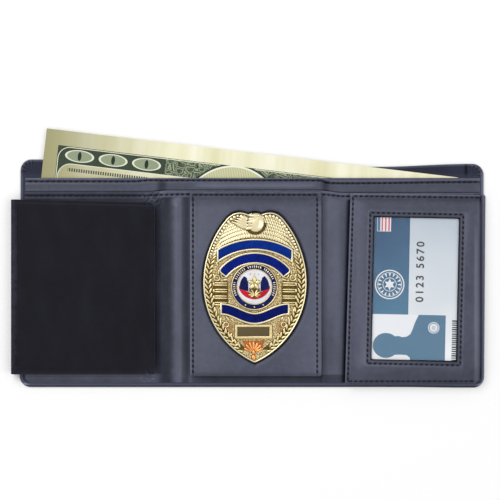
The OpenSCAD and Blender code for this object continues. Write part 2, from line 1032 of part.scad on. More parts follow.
// Banknote standing out of the bill compartment
module banknote() {
    color([0.88, 0.86, 0.7])
        translate([note_x, note_y, bill_z + note_lift])
            rotate(-note_tilt)
                translate([0, -note_h, 0])
                    cube([note_l, note_h, note_t]);
}

// Stitches along the hems. A raised panel covers the facing's hem, so only the
// inner wall has a row there
module wall_stitches(x0, x1) {
    stitches_across(x0, x1, wall_top - stitch_inset, facing_z);
}

module facing_stitches(x0, x1) {
    stitches_across(x0, x1, facing_top - stitch_inset, panel_z);
}

module stitches_left() {
    color(thread) {
        wall_stitches(left_inner, left_fold_out);
        facing_stitches(left_inner, left_fold_out);
    }
}

module stitches_centre() {
    color(thread)
        wall_stitches(left_fold_in, right_fold_in);
}

module stitches_right() {
    color(thread)
        wall_stitches(right_fold_out, right_inner);
}

module stitches_fold_left() {
    color(thread) {
        wall_stitches(left_fold_out, left_fold_in);
        facing_stitches(left_fold_out, left_fold_in);
    }
}

module stitches_fold_right() {
    color(thread) {
        wall_stitches(right_fold_in, right_fold_out);
        facing_stitches(right_fold_in, right_fold_out);
    }
}

// Rows along the badge panel's top and both sides
module badge_panel_stitches() {
    z = panel_z + badge_board_t + badge_panel_t;
    low = bottom_inner + badge_panel_rise;
    color(thread) {
        stitches_across(left_fold_in + stitch_inset, right_fold_in - stitch_inset,
            facing_top - stitch_inset, z);
        for (x = [left_fold_in + stitch_inset, right_fold_in - stitch_inset])
            stitches_up(x, low, facing_top - stitch_inset, z);
    }
}

// Rows round the window, along the panel's fold side, its top and its bottom
module window_stitches() {
    z = window_top_z;
    frame_x = window_w / 2 + window_stitch_gap;
    frame_y = window_h / 2 + window_stitch_gap;
    low = bottom_inner + stitch_inset;
    color(thread) {
        for (y = [window_y - frame_y, window_y + frame_y])
            stitches_across(window_x - frame_x, window_x + frame_x, y, z);
        for (x = [window_x - frame_x, window_x + frame_x])
            stitches_up(x, window_y - frame_y, window_y + frame_y, z);
        stitches_up(right_fold_out + stitch_inset, low, window_top - stitch_inset, z);
        stitches_across(right_fold_out + stitch_inset, right_inner, window_top - stitch_inset, z);
        stitches_across(right_fold_out + stitch_inset, right_inner - inner_r, low, z);
    }
}

cover_left();
cover_centre();
cover_right();
cover_fold_left();
cover_fold_right();
lining_left();
lining_centre();
lining_right();
lining_fold_left();
lining_fold_right();
inner_wall_left();
inner_wall_centre();
inner_wall_right();
inner_wall_fold_left();
inner_wall_fold_right();
facing_left();
facing_centre();
facing_right();
facing_fold_left();
facing_fold_right();
card_pocket_back();
card_pocket_middle();
card_pocket_front();
flap_roll();
flap_cover();
flap_board();
flap_lining();
badge_board();
badge_panel();
badge_backing();
badge_shell();
badge_crest();
badge_relief();
banner_frames();
enamel_top();
enamel_middle();
enamel_bottom();
seal_ring();
seal_disc();
seal_star();
number_frame();
number_plate();
badge_pin();
pin_hinge();
pin_catch();
window_spacer();
window_pane();
window_panel();
id_card();
banknote();
stitches_left();
stitches_centre();
stitches_right();
stitches_fold_left();
stitches_fold_right();
badge_panel_stitches();
window_stitches();
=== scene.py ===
# %% [markdown]
# # A tri-fold badge wallet, dressed in Blender
# The wallet lies open on its cover. The imported CAD model says where every layer, hinge and seam lies,
# and stays as it is. The leather, the badge's relief, the print and the stitches are modelled over it.
# Pieces on one panel are parented to an empty named after its body; those that cross a fold or the
# hinge are not.

# %% Frame
from functools import partial
from math import atan2, copysign, cos, degrees, hypot, pi, radians, sin, sqrt, tau

import bmesh
import bpy
from bmesh import ops
import numpy as np
from mathutils import Matrix, Vector, noise


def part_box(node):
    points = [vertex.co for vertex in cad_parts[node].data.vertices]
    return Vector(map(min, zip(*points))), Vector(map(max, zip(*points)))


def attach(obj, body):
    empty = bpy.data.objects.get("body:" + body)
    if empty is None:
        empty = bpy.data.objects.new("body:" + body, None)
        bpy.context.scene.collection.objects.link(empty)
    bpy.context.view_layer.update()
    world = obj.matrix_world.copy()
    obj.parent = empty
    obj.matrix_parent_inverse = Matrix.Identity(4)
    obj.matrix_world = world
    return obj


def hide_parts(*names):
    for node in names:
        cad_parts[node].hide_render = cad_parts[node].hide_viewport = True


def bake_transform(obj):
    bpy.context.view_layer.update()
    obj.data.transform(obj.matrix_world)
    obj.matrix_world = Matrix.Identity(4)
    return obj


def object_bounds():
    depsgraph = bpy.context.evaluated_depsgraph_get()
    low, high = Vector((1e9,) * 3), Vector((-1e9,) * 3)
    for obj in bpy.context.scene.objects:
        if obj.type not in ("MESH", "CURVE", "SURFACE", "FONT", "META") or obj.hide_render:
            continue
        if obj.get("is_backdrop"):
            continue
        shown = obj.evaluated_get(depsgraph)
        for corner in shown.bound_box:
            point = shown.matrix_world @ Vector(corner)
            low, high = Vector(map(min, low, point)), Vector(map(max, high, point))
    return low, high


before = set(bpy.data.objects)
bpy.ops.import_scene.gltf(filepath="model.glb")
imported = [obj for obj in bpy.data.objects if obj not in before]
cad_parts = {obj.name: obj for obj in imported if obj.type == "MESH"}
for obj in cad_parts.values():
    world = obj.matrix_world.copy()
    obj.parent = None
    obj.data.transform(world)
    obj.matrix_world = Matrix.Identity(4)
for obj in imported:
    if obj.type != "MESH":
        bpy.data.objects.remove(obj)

MM = 0.001
cad_low, cad_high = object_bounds()
print("CAD box in mm:", [round(size / MM, 1) for size in cad_high - cad_low])


def box_mm(node_name):
    """Lowest and highest corner of a CAD node, in millimetres."""
    low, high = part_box(node_name)
    return low / MM, high / MM


# %% [markdown]
# The photograph looks straight down on the wallet and shows 237 mm across its frame. A long lens
# keeps the upright edges out of sight, as they are there, and the camera's height follows from the
# lens, the sensor and that width.

# %% Camera
VIEW_W = 237 * MM
VIEW_X, VIEW_Y = -2.8 * MM, 10.9 * MM
LENS, SENSOR = 120, 36
WALLET_FACE = 4 * MM

scene = bpy.context.scene
eye = bpy.data.cameras.new("eye")
eye.lens = LENS
eye.sensor_width = SENSOR
camera = bpy.data.objects.new("camera", eye)
camera.location = (VIEW_X, VIEW_Y, WALLET_FACE + VIEW_W * LENS / SENSOR)
scene.collection.objects.link(camera)
bpy.context.scene.camera = camera
bpy.context.scene.view_settings.view_transform = "Standard"
print("camera", round(camera.location.z, 3), "m above the table")

# %% [markdown]
# Materials come next, because the floor needs one already. A colour picked from a screen is an sRGB
# value and Blender's sockets take linear light, so one function turns the first into the second,
# and one more adds a node with its settings and links.

# %% Colour and node helpers


def linear(code):
    """Linear RGBA of an sRGB hex colour."""
    parts = [int(code[i:i + 2], 16) / 255 for i in (1, 3, 5)]
    return [p / 12.92 if p <= 0.04045 else ((p + 0.055) / 1.055) ** 2.4 for p in parts] + [1]


def per_mm(size):
    """Scale of a pattern whose grain is size millimetres, on Object coordinates."""
    return 1 / (size * MM)


def node(tree, kind, *inputs, out=None, **settings):
    """Adds a node and gives its output named out, or else its first. The inputs come in order, or as
    one dictionary by name. Each is a number, a hex colour or another node's output."""
    made = tree.nodes.new("ShaderNode" + kind)
    for name, value in settings.items():
        setattr(made, name, value)
    if inputs and isinstance(inputs[0], dict):
        pairs = [(made.inputs[socket], value) for socket, value in inputs[0].items()]
    else:
        pairs = zip([socket for socket in made.inputs if socket.enabled], inputs)
    for socket, value in pairs:
        if isinstance(value, bpy.types.NodeSocket):
            tree.links.new(value, socket)
        else:
            socket.default_value = linear(value) if isinstance(value, str) else value
    if isinstance(out, str):
        return made.outputs[out]
    return next((socket for socket in made.outputs if socket.enabled), None)


def start_material(name):
    """A new material, what adds nodes to it, and the place that is shaded."""
    made = bpy.data.materials.new(name)
    made.use_nodes = True
    made.node_tree.nodes.clear()
    add = partial(node, made.node_tree)
    return made, add, add("TexCoord", out="Object")


def surface(add, share, tone, other_tone, rough, gloss=0.5, normal=None, metal=0.0):
    """Ends a material with one shader, whose colour runs from one tone to the other by share."""
    sockets = {"Base Color": add("Mix", share, tone, other_tone, data_type="RGBA"),
               "Metallic": metal, "Roughness": rough, "Specular IOR Level": gloss}
    if normal is not None:
        sockets["Normal"] = normal
    add("OutputMaterial", add("BsdfPrincipled", sockets))


print("mid grey in linear light:", round(linear("#808080")[0], 3))

# %% [markdown]
# The table is a plain white sweep, fully white only where the camera looks straight at it, so it
# doesn't wash out the leather from below. The world is white for the camera and for reflections,
# and softer as a lamp. Two large softboxes give the leather its sheen.

# %% Table, world and lamps
TABLE_SIZE = 6.0
TABLE_GAP = 0.05 * MM
AMBIENT = 0.56
# Each softbox: its watts, its size and its place
LAMPS = (("key", 5.6, 0.7, (-0.45, 0.45, 0.85)), ("fill", 1.8, 0.6, (0.6, -0.2, 0.8)))

white_sweep, add, _ = start_material("white_paper_sweep")
seen = add("LightPath", out="Is Camera Ray")
surface(add, seen, "#dcdcdc", "#ffffff", 0.9, 0.1)

bm = bmesh.new()
ops.create_grid(bm, x_segments=1, y_segments=1, size=TABLE_SIZE / 2)
ops.translate(bm, verts=bm.verts, vec=(0, 0, cad_low.z - TABLE_GAP))
table = bpy.data.objects.new("table", bpy.data.meshes.new("table"))
bm.to_mesh(table.data)
bm.free()
table.data.materials.append(white_sweep)
scene.collection.objects.link(table)
table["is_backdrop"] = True

world = bpy.data.worlds.new("studio")
scene.world = world
world.use_nodes = True
world.node_tree.nodes.clear()
add = partial(node, world.node_tree)
shown = add("LightPath", out="Is Camera Ray")
for ray in ("Is Glossy Ray", "Is Transmission Ray"):
    shown = add("Math", shown, add("LightPath", out=ray), operation="MAXIMUM")
add("OutputWorld", add("Background", (1, 1, 1, 1), add("MapRange", shown, 0, 1, AMBIENT, 1)))

for name, watts, size, place in LAMPS:
    lamp = bpy.data.lights.new(name, "AREA")
    lamp.energy = watts
    lamp.size = size
    softbox = bpy.data.objects.new(name, lamp)
    softbox.location = place
    softbox.rotation_euler = (-Vector(place)).to_track_quat("-Z", "Y").to_euler()
    scene.collection.objects.link(softbox)
print("lamps:", [light.name for light in bpy.data.lights])

# %% [markdown]
# Smooth cowhide is dyed right through and pressed under a plate. It has fine pores, shallow creases
# and a soft, uneven sheen. Rubbing pales its steep turned edges, so the mesh keeps how steep each
# place is. It also carries a tone of painted light and shade that follows its shape: from -1, painted
# shade in grooves, folds and beside raised parts, to 1, a painted highlight on ridges and edges.

# %% Leather
PORE, CREASE_SIZE, MOTTLE = 0.45, 3.0, 20
PORE_DEPTH = 0.04
# The colour of painted shade, which negative tone darkens towards in grooves, folds and beside raised
# parts
PAINTED_SHADE_TONE = "#06070c"


def leather(name, dye_tone, pale_tone, pale_wear_and_highlight_tone, roughness, gloss):
    """Smooth pressed leather: mottled dye, pores, shallow creases, worn edges, and painted light and
    shade from the tone.
    """
    made, add, place = start_material(name)
    tone = add("Attribute", attribute_name="tone", out="Fac")
    # Negative tone darkens the dye as painted shade. Positive tone pales it as a painted highlight,
    # with some real wear.
    dark = add("Math", add("Math", tone, -1.0, operation="MULTIPLY"), 0.0, operation="MAXIMUM")
    highlight_and_wear = add("Math", tone, 0.0, operation="MAXIMUM")
    mottle = add("TexNoise", {"Vector": place, "Scale": per_mm(MOTTLE), "Detail": 5})
    scuffs = add("TexNoise", {"Vector": place, "Scale": per_mm(CREASE_SIZE), "Detail": 7,
                              "Roughness": 0.7})
    pores = add("TexVoronoi", {"Vector": place, "Scale": per_mm(PORE)})
    steepness = add("Attribute", attribute_name="steepness", out="Fac")
    rubbed = add("Math", steepness, add("MapRange", scuffs, 0.3, 0.6), operation="MULTIPLY")
    dye = add("Mix", add("MapRange", mottle, 0.25, 0.75), dye_tone, pale_tone, data_type="RGBA")
    for share in (add("MapRange", scuffs, 0.45, 0.8, 0.0, 0.12),
                  add("Math", rubbed, 0.6, operation="MULTIPLY"), highlight_and_wear):
        dye = add("Mix", share, dye, pale_wear_and_highlight_tone, data_type="RGBA")
    grain = add("Bump", {"Height": add("Math", pores, scuffs, operation="ADD"), "Strength": 0.6,
                         "Distance": PORE_DEPTH * MM})
    shine = add("Math", gloss, add("Math", 1.0, dark, operation="SUBTRACT"), operation="MULTIPLY")
    rough = add("MapRange", scuffs, 0.3, 0.7, roughness - 0.08, roughness + 0.12)
    surface(add, dark, dye, PAINTED_SHADE_TONE, rough, shine, grain)
    return made


# The panels are navy with a soft sheen, the flap is dull and almost black, the lining thin and matt
navy_leather = leather("smooth_navy_leather", "#3a3d4c", "#444759", "#80849a", 0.4, 0.34)
flap_leather = leather("matte_black_leather", "#0f0f15", "#13131b", "#3f3e4e", 0.6, 0.1)
lining_leather = leather("thin_lining_leather", "#2b2e3f", "#35384d", "#565a72", 0.6, 0.18)
print("leathers:", navy_leather.name, flap_leather.name, lining_leather.name)

# %% [markdown]
# Stitches are twisted nylon, so each shows slanted bands. The plies could be modelled, but hundreds
# of stitches would grow heavy, so a wave texture draws them, wider than the real twist because
# finer bands wouldn't show. Board and felt are a mat of short fibres. Drawn steel shows lines along
# the wire.

# %% Thread, board, felt and steel
TWIST, TWIST_SLANT, WAVE_SHARE = 0.45, 35, 20
FIBRE = 0.6

thread, add, place = start_material("twisted_nylon_thread")
turned = add("Mapping", {"Vector": place, "Rotation": (0, 0, radians(TWIST_SLANT))})
twist = add("TexWave", {"Vector": turned, "Scale": per_mm(TWIST) / WAVE_SHARE,
                        "Distortion": 1.5}, out="Fac")
plies = add("Bump", {"Height": twist, "Strength": 0.6, "Distance": 0.05 * MM})
surface(add, twist, "#0b0b12", "#1b1b27", 0.6, 0.2, plies)


def fibrous(name, tone, pale_tone, fibre, rough):
    """Board or felt: short fibres pressed together."""
    made, add, place = start_material(name)
    fibres = add("TexNoise", {"Vector": place, "Scale": per_mm(fibre), "Detail": 8,
                              "Roughness": 0.75})
    nap = add("Bump", {"Height": fibres, "Strength": 0.7, "Distance": 0.1 * MM})
    surface(add, fibres, tone, pale_tone, rough, 0.1, nap)
    return made


# The board shows grey and coarse at its edges, and the felt drinks the light behind the badge
grey_board = fibrous("pressed_paper_board", "#5e5a53", "#8d887d", FIBRE, 0.95)
black_felt = fibrous("wool_felt", "#0c0c12", "#1d1d26", FIBRE / 2, 1.0)

# The steel is bright along its fine lines, and a metal keeps the default IOR
LINE_PITCH, LINE_STRETCH = 0.2, 0.05
pin_steel, add, place = start_material("drawn_steel")
drawn = add("Mapping", {"Vector": place, "Scale": (LINE_STRETCH, 1, 1)})
lines = add("TexNoise", {"Vector": drawn, "Scale": per_mm(LINE_PITCH)})
wires = add("Bump", {"Height": lines, "Strength": 0.3, "Distance": 0.02 * MM})
surface(add, lines, "#a9a9ad", "#d0d0d4", 0.3, normal=wires, metal=1.0)
print("fittings:", thread.name, grey_board.name, black_felt.name, pin_steel.name)

# %% [markdown]
# The badge is die-struck brass with a thin gold plate, bright on everything that stands up. Dark
# lacquer stays in the corners, which makes such relief readable. It could be painted on the mesh,
# but Cycles' Ambient Occlusion node finds those corners by itself.

# %% Gold plate
LACQUER_REACH, PEBBLE, STEEP_SHARE = 0.8, 0.55, 0.45


def gold(name, tone, deep_tone, roughness, grain_depth, lacquered):
    """Gold plate. Dark lacquer stays in corners and between the pebbles, and steep sides get painted
    shade.
    """
    made, add, place = start_material(name)
    struck = add("TexNoise", {"Vector": place, "Scale": per_mm(PEBBLE * 2), "Detail": 6,
                              "Roughness": 0.65})
    pebbles = add("TexVoronoi", {"Vector": place, "Scale": per_mm(PEBBLE)})
    dents = add("Bump", {"Height": add("Math", struck, pebbles, operation="SUBTRACT"),
                         "Strength": 0.8, "Distance": grain_depth * MM})
    corners = add("AmbientOcclusion", {"Distance": LACQUER_REACH * MM}, samples=8, out="AO")
    clean = add("MapRange", corners, 0.42, 0.88)
    # Steep sides are darkened towards the deep tone: painted shade, standing in for dark reflections
    steepness = add("Attribute", attribute_name="steepness", out="Fac")
    clean = add("Math", clean, add("MapRange", steepness, 0.25, 1, 1, STEEP_SHARE), operation="MULTIPLY")
    between = add("Math", add("MapRange", pebbles, 0.25, 0.6), lacquered, operation="MULTIPLY")
    clean = add("Math", clean, add("Math", 1.0, between, operation="SUBTRACT"), operation="MULTIPLY")
    rough = add("MapRange", struck, 0.3, 0.7, roughness, roughness + 0.15)
    surface(add, clean, deep_tone, tone, rough, normal=dents, metal=1.0)
    return made


# Polished plate mirrors the lamps, brushed and satin plate smear them, and sandblasted ground is
# matt. Lacquer leaves a ground nearly black. Rose gold sets the badge's foot apart from the rest.
bright_gold = gold("polished_gold_plate", "#eaddb4", "#46371a", 0.16, 0.02, 0.1)
brushed_gold = gold("brushed_gold_plate", "#ddd1a8", "#42341a", 0.22, 0.03, 0.15)
satin_gold = gold("satin_gold_plate", "#e2d09a", "#3d2e13", 0.26, 0.03, 0.25)
ground_gold = gold("sandblasted_gold_plate", "#d8c391", "#3d2e15", 0.35, 0.14, 0.75)
dark_gold = gold("lacquered_gold_plate", "#6a562d", "#171108", 0.4, 0.1, 0.6)
rose_ground = gold("sandblasted_rose_gold_plate", "#bd9a6e", "#553820", 0.38, 0.12, 0.7)
copper_gold = gold("rose_gold_plate", "#eba463", "#6b3212", 0.25, 0.05, 0.3)
dark_copper = gold("lacquered_rose_gold_plate", "#b06a3c", "#542a14", 0.35, 0.08, 0.5)
print("golds:", [made.name for made in bpy.data.materials if "gold" in made.name])

# %% [markdown]
# Hard enamel is ground glass, fired into the frames and polished flat: deep in colour, with a faint
# gloss and the smallest ripple. The number plate is stove-painted with bronze flakes. Both are
# flat, so a gentle pattern in the colour and the normal is enough.

# %% Enamel and bronze paint
RIPPLE = 2.5


def enamel(name, tone, deep_tone, gloss):
    """Fired enamel, polished, with a faint ripple."""
    made, add, place = start_material(name)
    ripple_map = add("TexNoise", {"Vector": place, "Scale": per_mm(RIPPLE)})
    polish = add("Bump", {"Height": ripple_map, "Strength": 0.4, "Distance": 0.05 * MM})
    surface(add, add("MapRange", ripple_map, 0.3, 0.7), deep_tone, tone, 0.12, gloss, polish)
    return made


# The banners share one blue. The top one's is made paler as painted light and the bottom one's deeper
# as painted shade. The seal is navy, white and red.
blue_enamel = enamel("blue_hard_enamel", "#061f80", "#041662", 0.06)
top_banner_lit_enamel = enamel("blue_hard_enamel_painted_light", "#05308f", "#042473", 0.06)
bottom_banner_shaded_enamel = enamel("blue_hard_enamel_painted_shade", "#041768", "#030f4e", 0.06)
navy_enamel = enamel("navy_hard_enamel", "#16205e", "#0e1546", 0.08)
red_enamel = enamel("red_hard_enamel", "#cc2430", "#b01824", 0.12)
white_enamel = enamel("white_hard_enamel", "#ebebee", "#dddde3", 0.2)

# The paint is drawn with flakes that are larger than real ones, or they wouldn't show
FLAKE = 0.25
bronze_paint, add, place = start_material("bronze_stove_paint")
flakes = add("TexVoronoi", {"Vector": place, "Scale": per_mm(FLAKE)})
surface(add, flakes, "#4d4125", "#5c4f2e", 0.5, 0.3)
print("enamels:", [made.name for made in bpy.data.materials if "enamel" in made.name])

# %% [markdown]
# The card is PVC with flat areas of ink, and its tones deepen from foot to head, so each ink has
# two. The window over it is soft clear vinyl. Real refraction would need many more light paths, so
# a clear and a glossy shader are mixed by the Fresnel law instead.

# %% Card plastic, inks and vinyl
CARD_FOOT_Y, CARD_HEAD_Y = -42 * MM, 26 * MM
VINYL_IOR = 1.4


def printed(name, foot_tone, head_tone, grain):
    """Ink or bare plastic, with one tone at the card's foot and one at its head."""
    made, add, place = start_material(name)
    cloud = add("TexNoise", {"Vector": place, "Scale": per_mm(grain)})
    height = add("SeparateXYZ", {0: place}, out="Y")
    rise = add("MapRange", height, CARD_FOOT_Y, CARD_HEAD_Y)
    share = add("Math", rise, add("MapRange", cloud, 0.3, 0.7, -0.12, 0.12), operation="ADD")
    fine = add("Bump", {"Height": cloud, "Strength": 0.2, "Distance": 0.02 * MM})
    surface(add, share, foot_tone, head_tone, 0.35, 0.2, fine)
    return made


# White plastic greys towards the card's head, and the inks on it are flat and matt
card_white = printed("white_card_plastic", "#f1f3f6", "#bac5d0", 30)
blue_ink = printed("blue_card_ink", "#4a82a1", "#1b476e", 18)
slate_ink = printed("pale_blue_card_ink", "#4b7794", "#466e8b", 12)
pale_ink = printed("white_card_ink", "#e9ebef", "#e1e5ea", 15)
dark_ink = printed("dark_card_ink", "#191f26", "#2a323c", 8)
red_ink = printed("red_card_ink", "#cc5864", "#d05a68", 8)

# The vinyl shows by its gloss alone, which waves as the soft sheet does
VINYL_WAVE = 14
clear_vinyl, add, place = start_material("clear_soft_vinyl")
waves = add("TexNoise", {"Vector": place, "Scale": per_mm(VINYL_WAVE)})
sag = add("Bump", {"Height": waves, "Strength": 0.5, "Distance": 0.3 * MM})
gloss = add("BsdfGlossy", {"Color": (1, 1, 1, 1), "Roughness": 0.1, "Normal": sag})
see_through = add("BsdfTransparent", {"Color": "#ffffff"})
# Light leaves the thin sheet as it entered it, so the lower face mirrors no more than the upper one
back = add("NewGeometry", out="Backfacing")
share = add("Fresnel", {"IOR": add("MapRange", back, 0, 1, VINYL_IOR, 1 / VINYL_IOR),
                        "Normal": sag})
add("OutputMaterial", add("MixShader", {0: share, 1: see_through, 2: gloss}))
print("materials so far:", len(bpy.data.materials))

# %% [markdown]
# Every flat layer is an outline with a thickness and soft rims. A 2D curve suits that better than a
# bevelled face: it fills its outline, leaves holes open, extrudes, and rounds both rims. All is
# done in millimetres, and turned to metres at the very end.

# %% Outlines and plates
CORNER_STEPS, CIRCLE_STEPS, RIM_STEPS = 8, 48, 2


def polar(centre, r, turn):
    """The place at a distance from a centre, in one direction in degrees."""
    angle = radians(turn)
    return centre[0] + r * cos(angle), centre[1] + r * sin(angle)


def arc(centre, r, start, stop, count=CORNER_STEPS):
    """Points on an arc, angles in degrees."""
    return [polar(centre, r, start + (stop - start) * i / count) for i in range(count + 1)]


def circle(centre, r):
    """Points all the way round."""
    return arc(centre, r, 0, 360, CIRCLE_STEPS)[:-1]


def rectangle(x0, x1, y0, y1, corners=(0, 0, 0, 0)):
    """A rectangle's outline. corners are its radii: low left, low right, top right, top left."""
    places = ((x0, y0, 1, 1, 180), (x1, y0, -1, 1, 270), (x1, y1, -1, -1, 0), (x0, y1, 1, -1, 90))
    points = []
    for (x, y, right, up, start), r in zip(places, corners):
        if r == 0:
            points.append((x, y))
        else:
            points += arc((x + right * r, y + up * r), r, start, start + 90)
    return points


def solid_of(curve):
    """A curve's or a text's solid as a bmesh, with its doubles merged."""
    holder = bpy.data.objects.new("outline", curve)
    mesh = bpy.data.meshes.new_from_object(holder)
    bm = bmesh.new()
    bm.from_mesh(mesh)
    bpy.data.objects.remove(holder)
    bpy.data.curves.remove(curve)
    bpy.data.meshes.remove(mesh)
    ops.remove_doubles(bm, verts=bm.verts, dist=MM)
    return bm


def plate(loops, low, high, edge_r):
    """A flat solid with round rims, from an outline and its holes."""
    curve = bpy.data.curves.new("outline", "CURVE")
    curve.dimensions = "2D"
    curve.fill_mode = "BOTH"
    for loop in loops:
        spline = curve.splines.new("POLY")
        spline.points.add(len(loop) - 1)
        for point, (x, y) in zip(spline.points, loop):
            point.co = (x, y, 0, 1)
        spline.use_cyclic_u = True
    curve.extrude = (high - low) / 2 - edge_r
    curve.bevel_depth = edge_r
    curve.bevel_resolution = RIM_STEPS
    curve.offset = -edge_r
    bm = solid_of(curve)
    ops.recalc_face_normals(bm, faces=bm.faces)
    ops.translate(bm, verts=bm.verts, vec=(0, 0, (low + high) / 2))
    return bm


print("points of a round corner:", len(arc((0, 0), 1, 0, 90)))

# %% [markdown]
# A plate needs points to bend at. Subdividing would cut it evenly everywhere, so planes cut it,
# close together where it is sewn or folded and wide apart elsewhere. One function of the place then
# gives each point its height and another its tone of painted light and shade, so a groove is deep
# and painted dark at once.

# %% Cutting and pressing
STEEPNESS_GAIN = 1.8
TONE_REACH = 1.5


def steps(low, high, pitch):
    """Even places from low to high, about pitch apart, with both ends."""
    count = max(1, round((high - low) / pitch))
    return [low + (high - low) * i / count for i in range(count + 1)]


def cut(bm, axis, places):
    """Cuts a solid across an axis at each place."""
    normal = Vector((0, 0, 0))
    normal[axis] = 1
    for place in places:
        ops.bisect_plane(bm, geom=bm.verts[:] + bm.edges[:] + bm.faces[:], dist=MM,
                         plane_co=normal * place, plane_no=normal)


def cut_grid(bm, pitch):
    """Cuts a solid into even squares."""
    for axis in (0, 1):
        places = [v.co[axis] for v in bm.verts]
        cut(bm, axis, steps(min(places), max(places), pitch)[1:-1])


def press(bm, shape, tone=None):
    """Raises each place by shape(x, y), fully on top and not at all underneath."""
    heights = [v.co.z for v in bm.verts]
    low, high = min(heights), max(heights)
    tone_layer = bm.verts.layers.float.new("tone")
    for v in bm.verts:
        share = (v.co.z - low) / (high - low)
        x, y = v.co.x, v.co.y
        v.co.z += share * shape(x, y)
        if tone:
            v[tone_layer] = min(1, share * TONE_REACH) * max(-1, min(1, tone(x, y)))


def joined(parts):
    """Several bmeshes as one."""
    whole = bmesh.new()
    for part in parts:
        held = bpy.data.meshes.new("held")
        part.to_mesh(held)
        part.free()
        whole.from_mesh(held)
        bpy.data.meshes.remove(held)
    return whole


def add_steepness(bm):
    """Writes how steep each place is, from 0 on a flat top to 1 on a side."""
    bm.normal_update()
    steepness = bm.verts.layers.float.get("steepness") or bm.verts.layers.float.new("steepness")
    for v in bm.verts:
        v[steepness] = min(1, STEEPNESS_GAIN * (1 - abs(v.normal.z)))


def finish_piece(bm, name, material, nodes=()):
    """Makes the object, in metres, with smooth faces."""
    add_steepness(bm)
    ops.scale(bm, vec=(MM, MM, MM), verts=bm.verts)
    mesh = bpy.data.meshes.new(name)
    bm.to_mesh(mesh)
    bm.free()
    mesh.polygons.foreach_set("use_smooth", [True] * len(mesh.polygons))
    mesh.materials.append(material)
    piece = bpy.data.objects.new(name, mesh)
    scene.collection.objects.link(piece)
    if nodes:
        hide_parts(*nodes)
    return piece


def add_piece(bm, name, material, body, nodes=()):
    """Finishes a piece that moves with one body."""
    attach(finish_piece(bm, name, material, nodes), body)


def soft_step(x):
    """Smooth rise from 0 to 1."""
    t = min(1, max(0, x))
    return t * t * (3 - 2 * t)


def hump(x, half_w):
    """Smooth hump, 1 in the middle and 0 at half_w to either side."""
    return 1 - soft_step(abs(x) / half_w)


def ripple(x, y, size, seed):
    """Gentle unevenness between about -1 and 1, size millimetres from crest to crest."""
    return noise.noise(Vector((x / size, y / size, seed)))


print("hump at 0, 1 and 2 mm:", [round(hump(x, 2), 2) for x in (0, 1, 2)])

# %% [markdown]
# The layers share the cover's edges, the two folds and each layer's top edge. They are read from
# the CAD nodes' boxes, so the dressed wallet follows the construction. A full sheet is pressed in
# one piece and then split in the middle, one half on either side.

# %% Lines of the wallet
cover_low, cover_high = box_mm("cover_left")
left_edge, left_fold_out = cover_low.x, cover_high.x
bottom_edge, top_edge = cover_low.y, cover_high.y
right_fold_out, right_edge = box_mm("cover_right")[0].x, box_mm("cover_right")[1].x
left_fold_in = box_mm("cover_fold_left")[1].x
right_fold_in = box_mm("cover_fold_right")[0].x
left_inner, right_inner = box_mm("inner_wall_left")[0].x, box_mm("inner_wall_right")[1].x
bottom_inner = box_mm("inner_wall_centre")[0].y
wall_top = box_mm("inner_wall_centre")[1].y
facing_top = box_mm("facing_centre")[1].y
panel_low, panel_high = box_mm("badge_panel")
window_low, window_high = box_mm("window_panel")
CORNER_R = 5.2
COVER_RIM = 2
INNER_R = CORNER_R - COVER_RIM
STITCH_INSET = 1.3
EDGE_R = 0.3

# Pitches of the cuts: on a fold, on a flat panel, on a rim and along a seam
FOLD_PITCH, FLAT_PITCH, RIM_PITCH, SEAM_PITCH = 0.8, 4.0, 0.4, 0.33
print("folds in mm:", [round(x, 1) for x in (left_fold_out, left_fold_in, right_fold_in,
                                             right_fold_out)])


def fold_cuts():
    """Places to cut a full sheet across: close in the folds, wide on the flat panels."""
    return (steps(left_inner, left_fold_out - 8, FLAT_PITCH)
            + steps(left_fold_out - 6, left_fold_out + 7, FOLD_PITCH / 2)
            + steps(left_fold_out + 7.5, left_fold_in, FOLD_PITCH)
            + steps(left_fold_in + 1, right_fold_in - 1, FLAT_PITCH)
            + steps(right_fold_in, right_fold_out + 2, FOLD_PITCH)
            + steps(right_fold_out + 4, right_inner, FLAT_PITCH))


def bend_halves(bm, name, material, left_nodes, right_nodes):
    """Splits a sheet at the wallet's middle into two pieces, one on either side."""
    for side, label, body, fold, nodes in (
            (-1, "left", "left_panel", (left_fold_in, left_fold_out), left_nodes),
            (1, "right", "right_panel", (right_fold_in, right_fold_out), right_nodes)):
        half = bm.copy()
        ops.bisect_plane(half, geom=half.verts[:] + half.edges[:] + half.faces[:], dist=MM,
                         plane_co=(0, 0, 0), plane_no=(-side, 0, 0), clear_outer=True)
        rim = [e for e in half.edges if len(e.link_faces) == 1]
        ops.holes_fill(half, edges=rim, sides=0)
        ops.split_edges(half, edges=rim)
        piece = finish_piece(half, f"{name}_{label}", material, nodes)
        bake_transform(piece)
    bm.free()


# %% [markdown]
# The cover is one sheet of leather, which carries everything and stands out past the inner layers.
# The right fold pulls its top edge down, the window panel swells it, and its sides lean. A plain
# rounded rectangle would look stamped, so the outline follows these lines.

# %% Cover's outline
FOLD_PULL, PULL_BACK = 3.5, 1.4
STEP_W, STEP_Y, STEP_H = 0.9, 36.6, 0.8
SIDE_SPREAD = {"low left": 0.85, "top left": 0.4, "low right": 0.15, "top right": 0.75}
LOW_DROP, LOW_SAG = 0.3, 0.3
OUTLINE_PITCH = 4


def droop(x):
    """How far the right fold draws the cover's top edge down."""
    return FOLD_PULL * soft_step((x - 6) / 46) - PULL_BACK * soft_step((x - 58) / 44)


def low_line(x):
    """Bottom edge of the cover, which sags a little towards the right."""
    return bottom_edge - LOW_DROP - LOW_SAG * soft_step((x - 70) / 30)


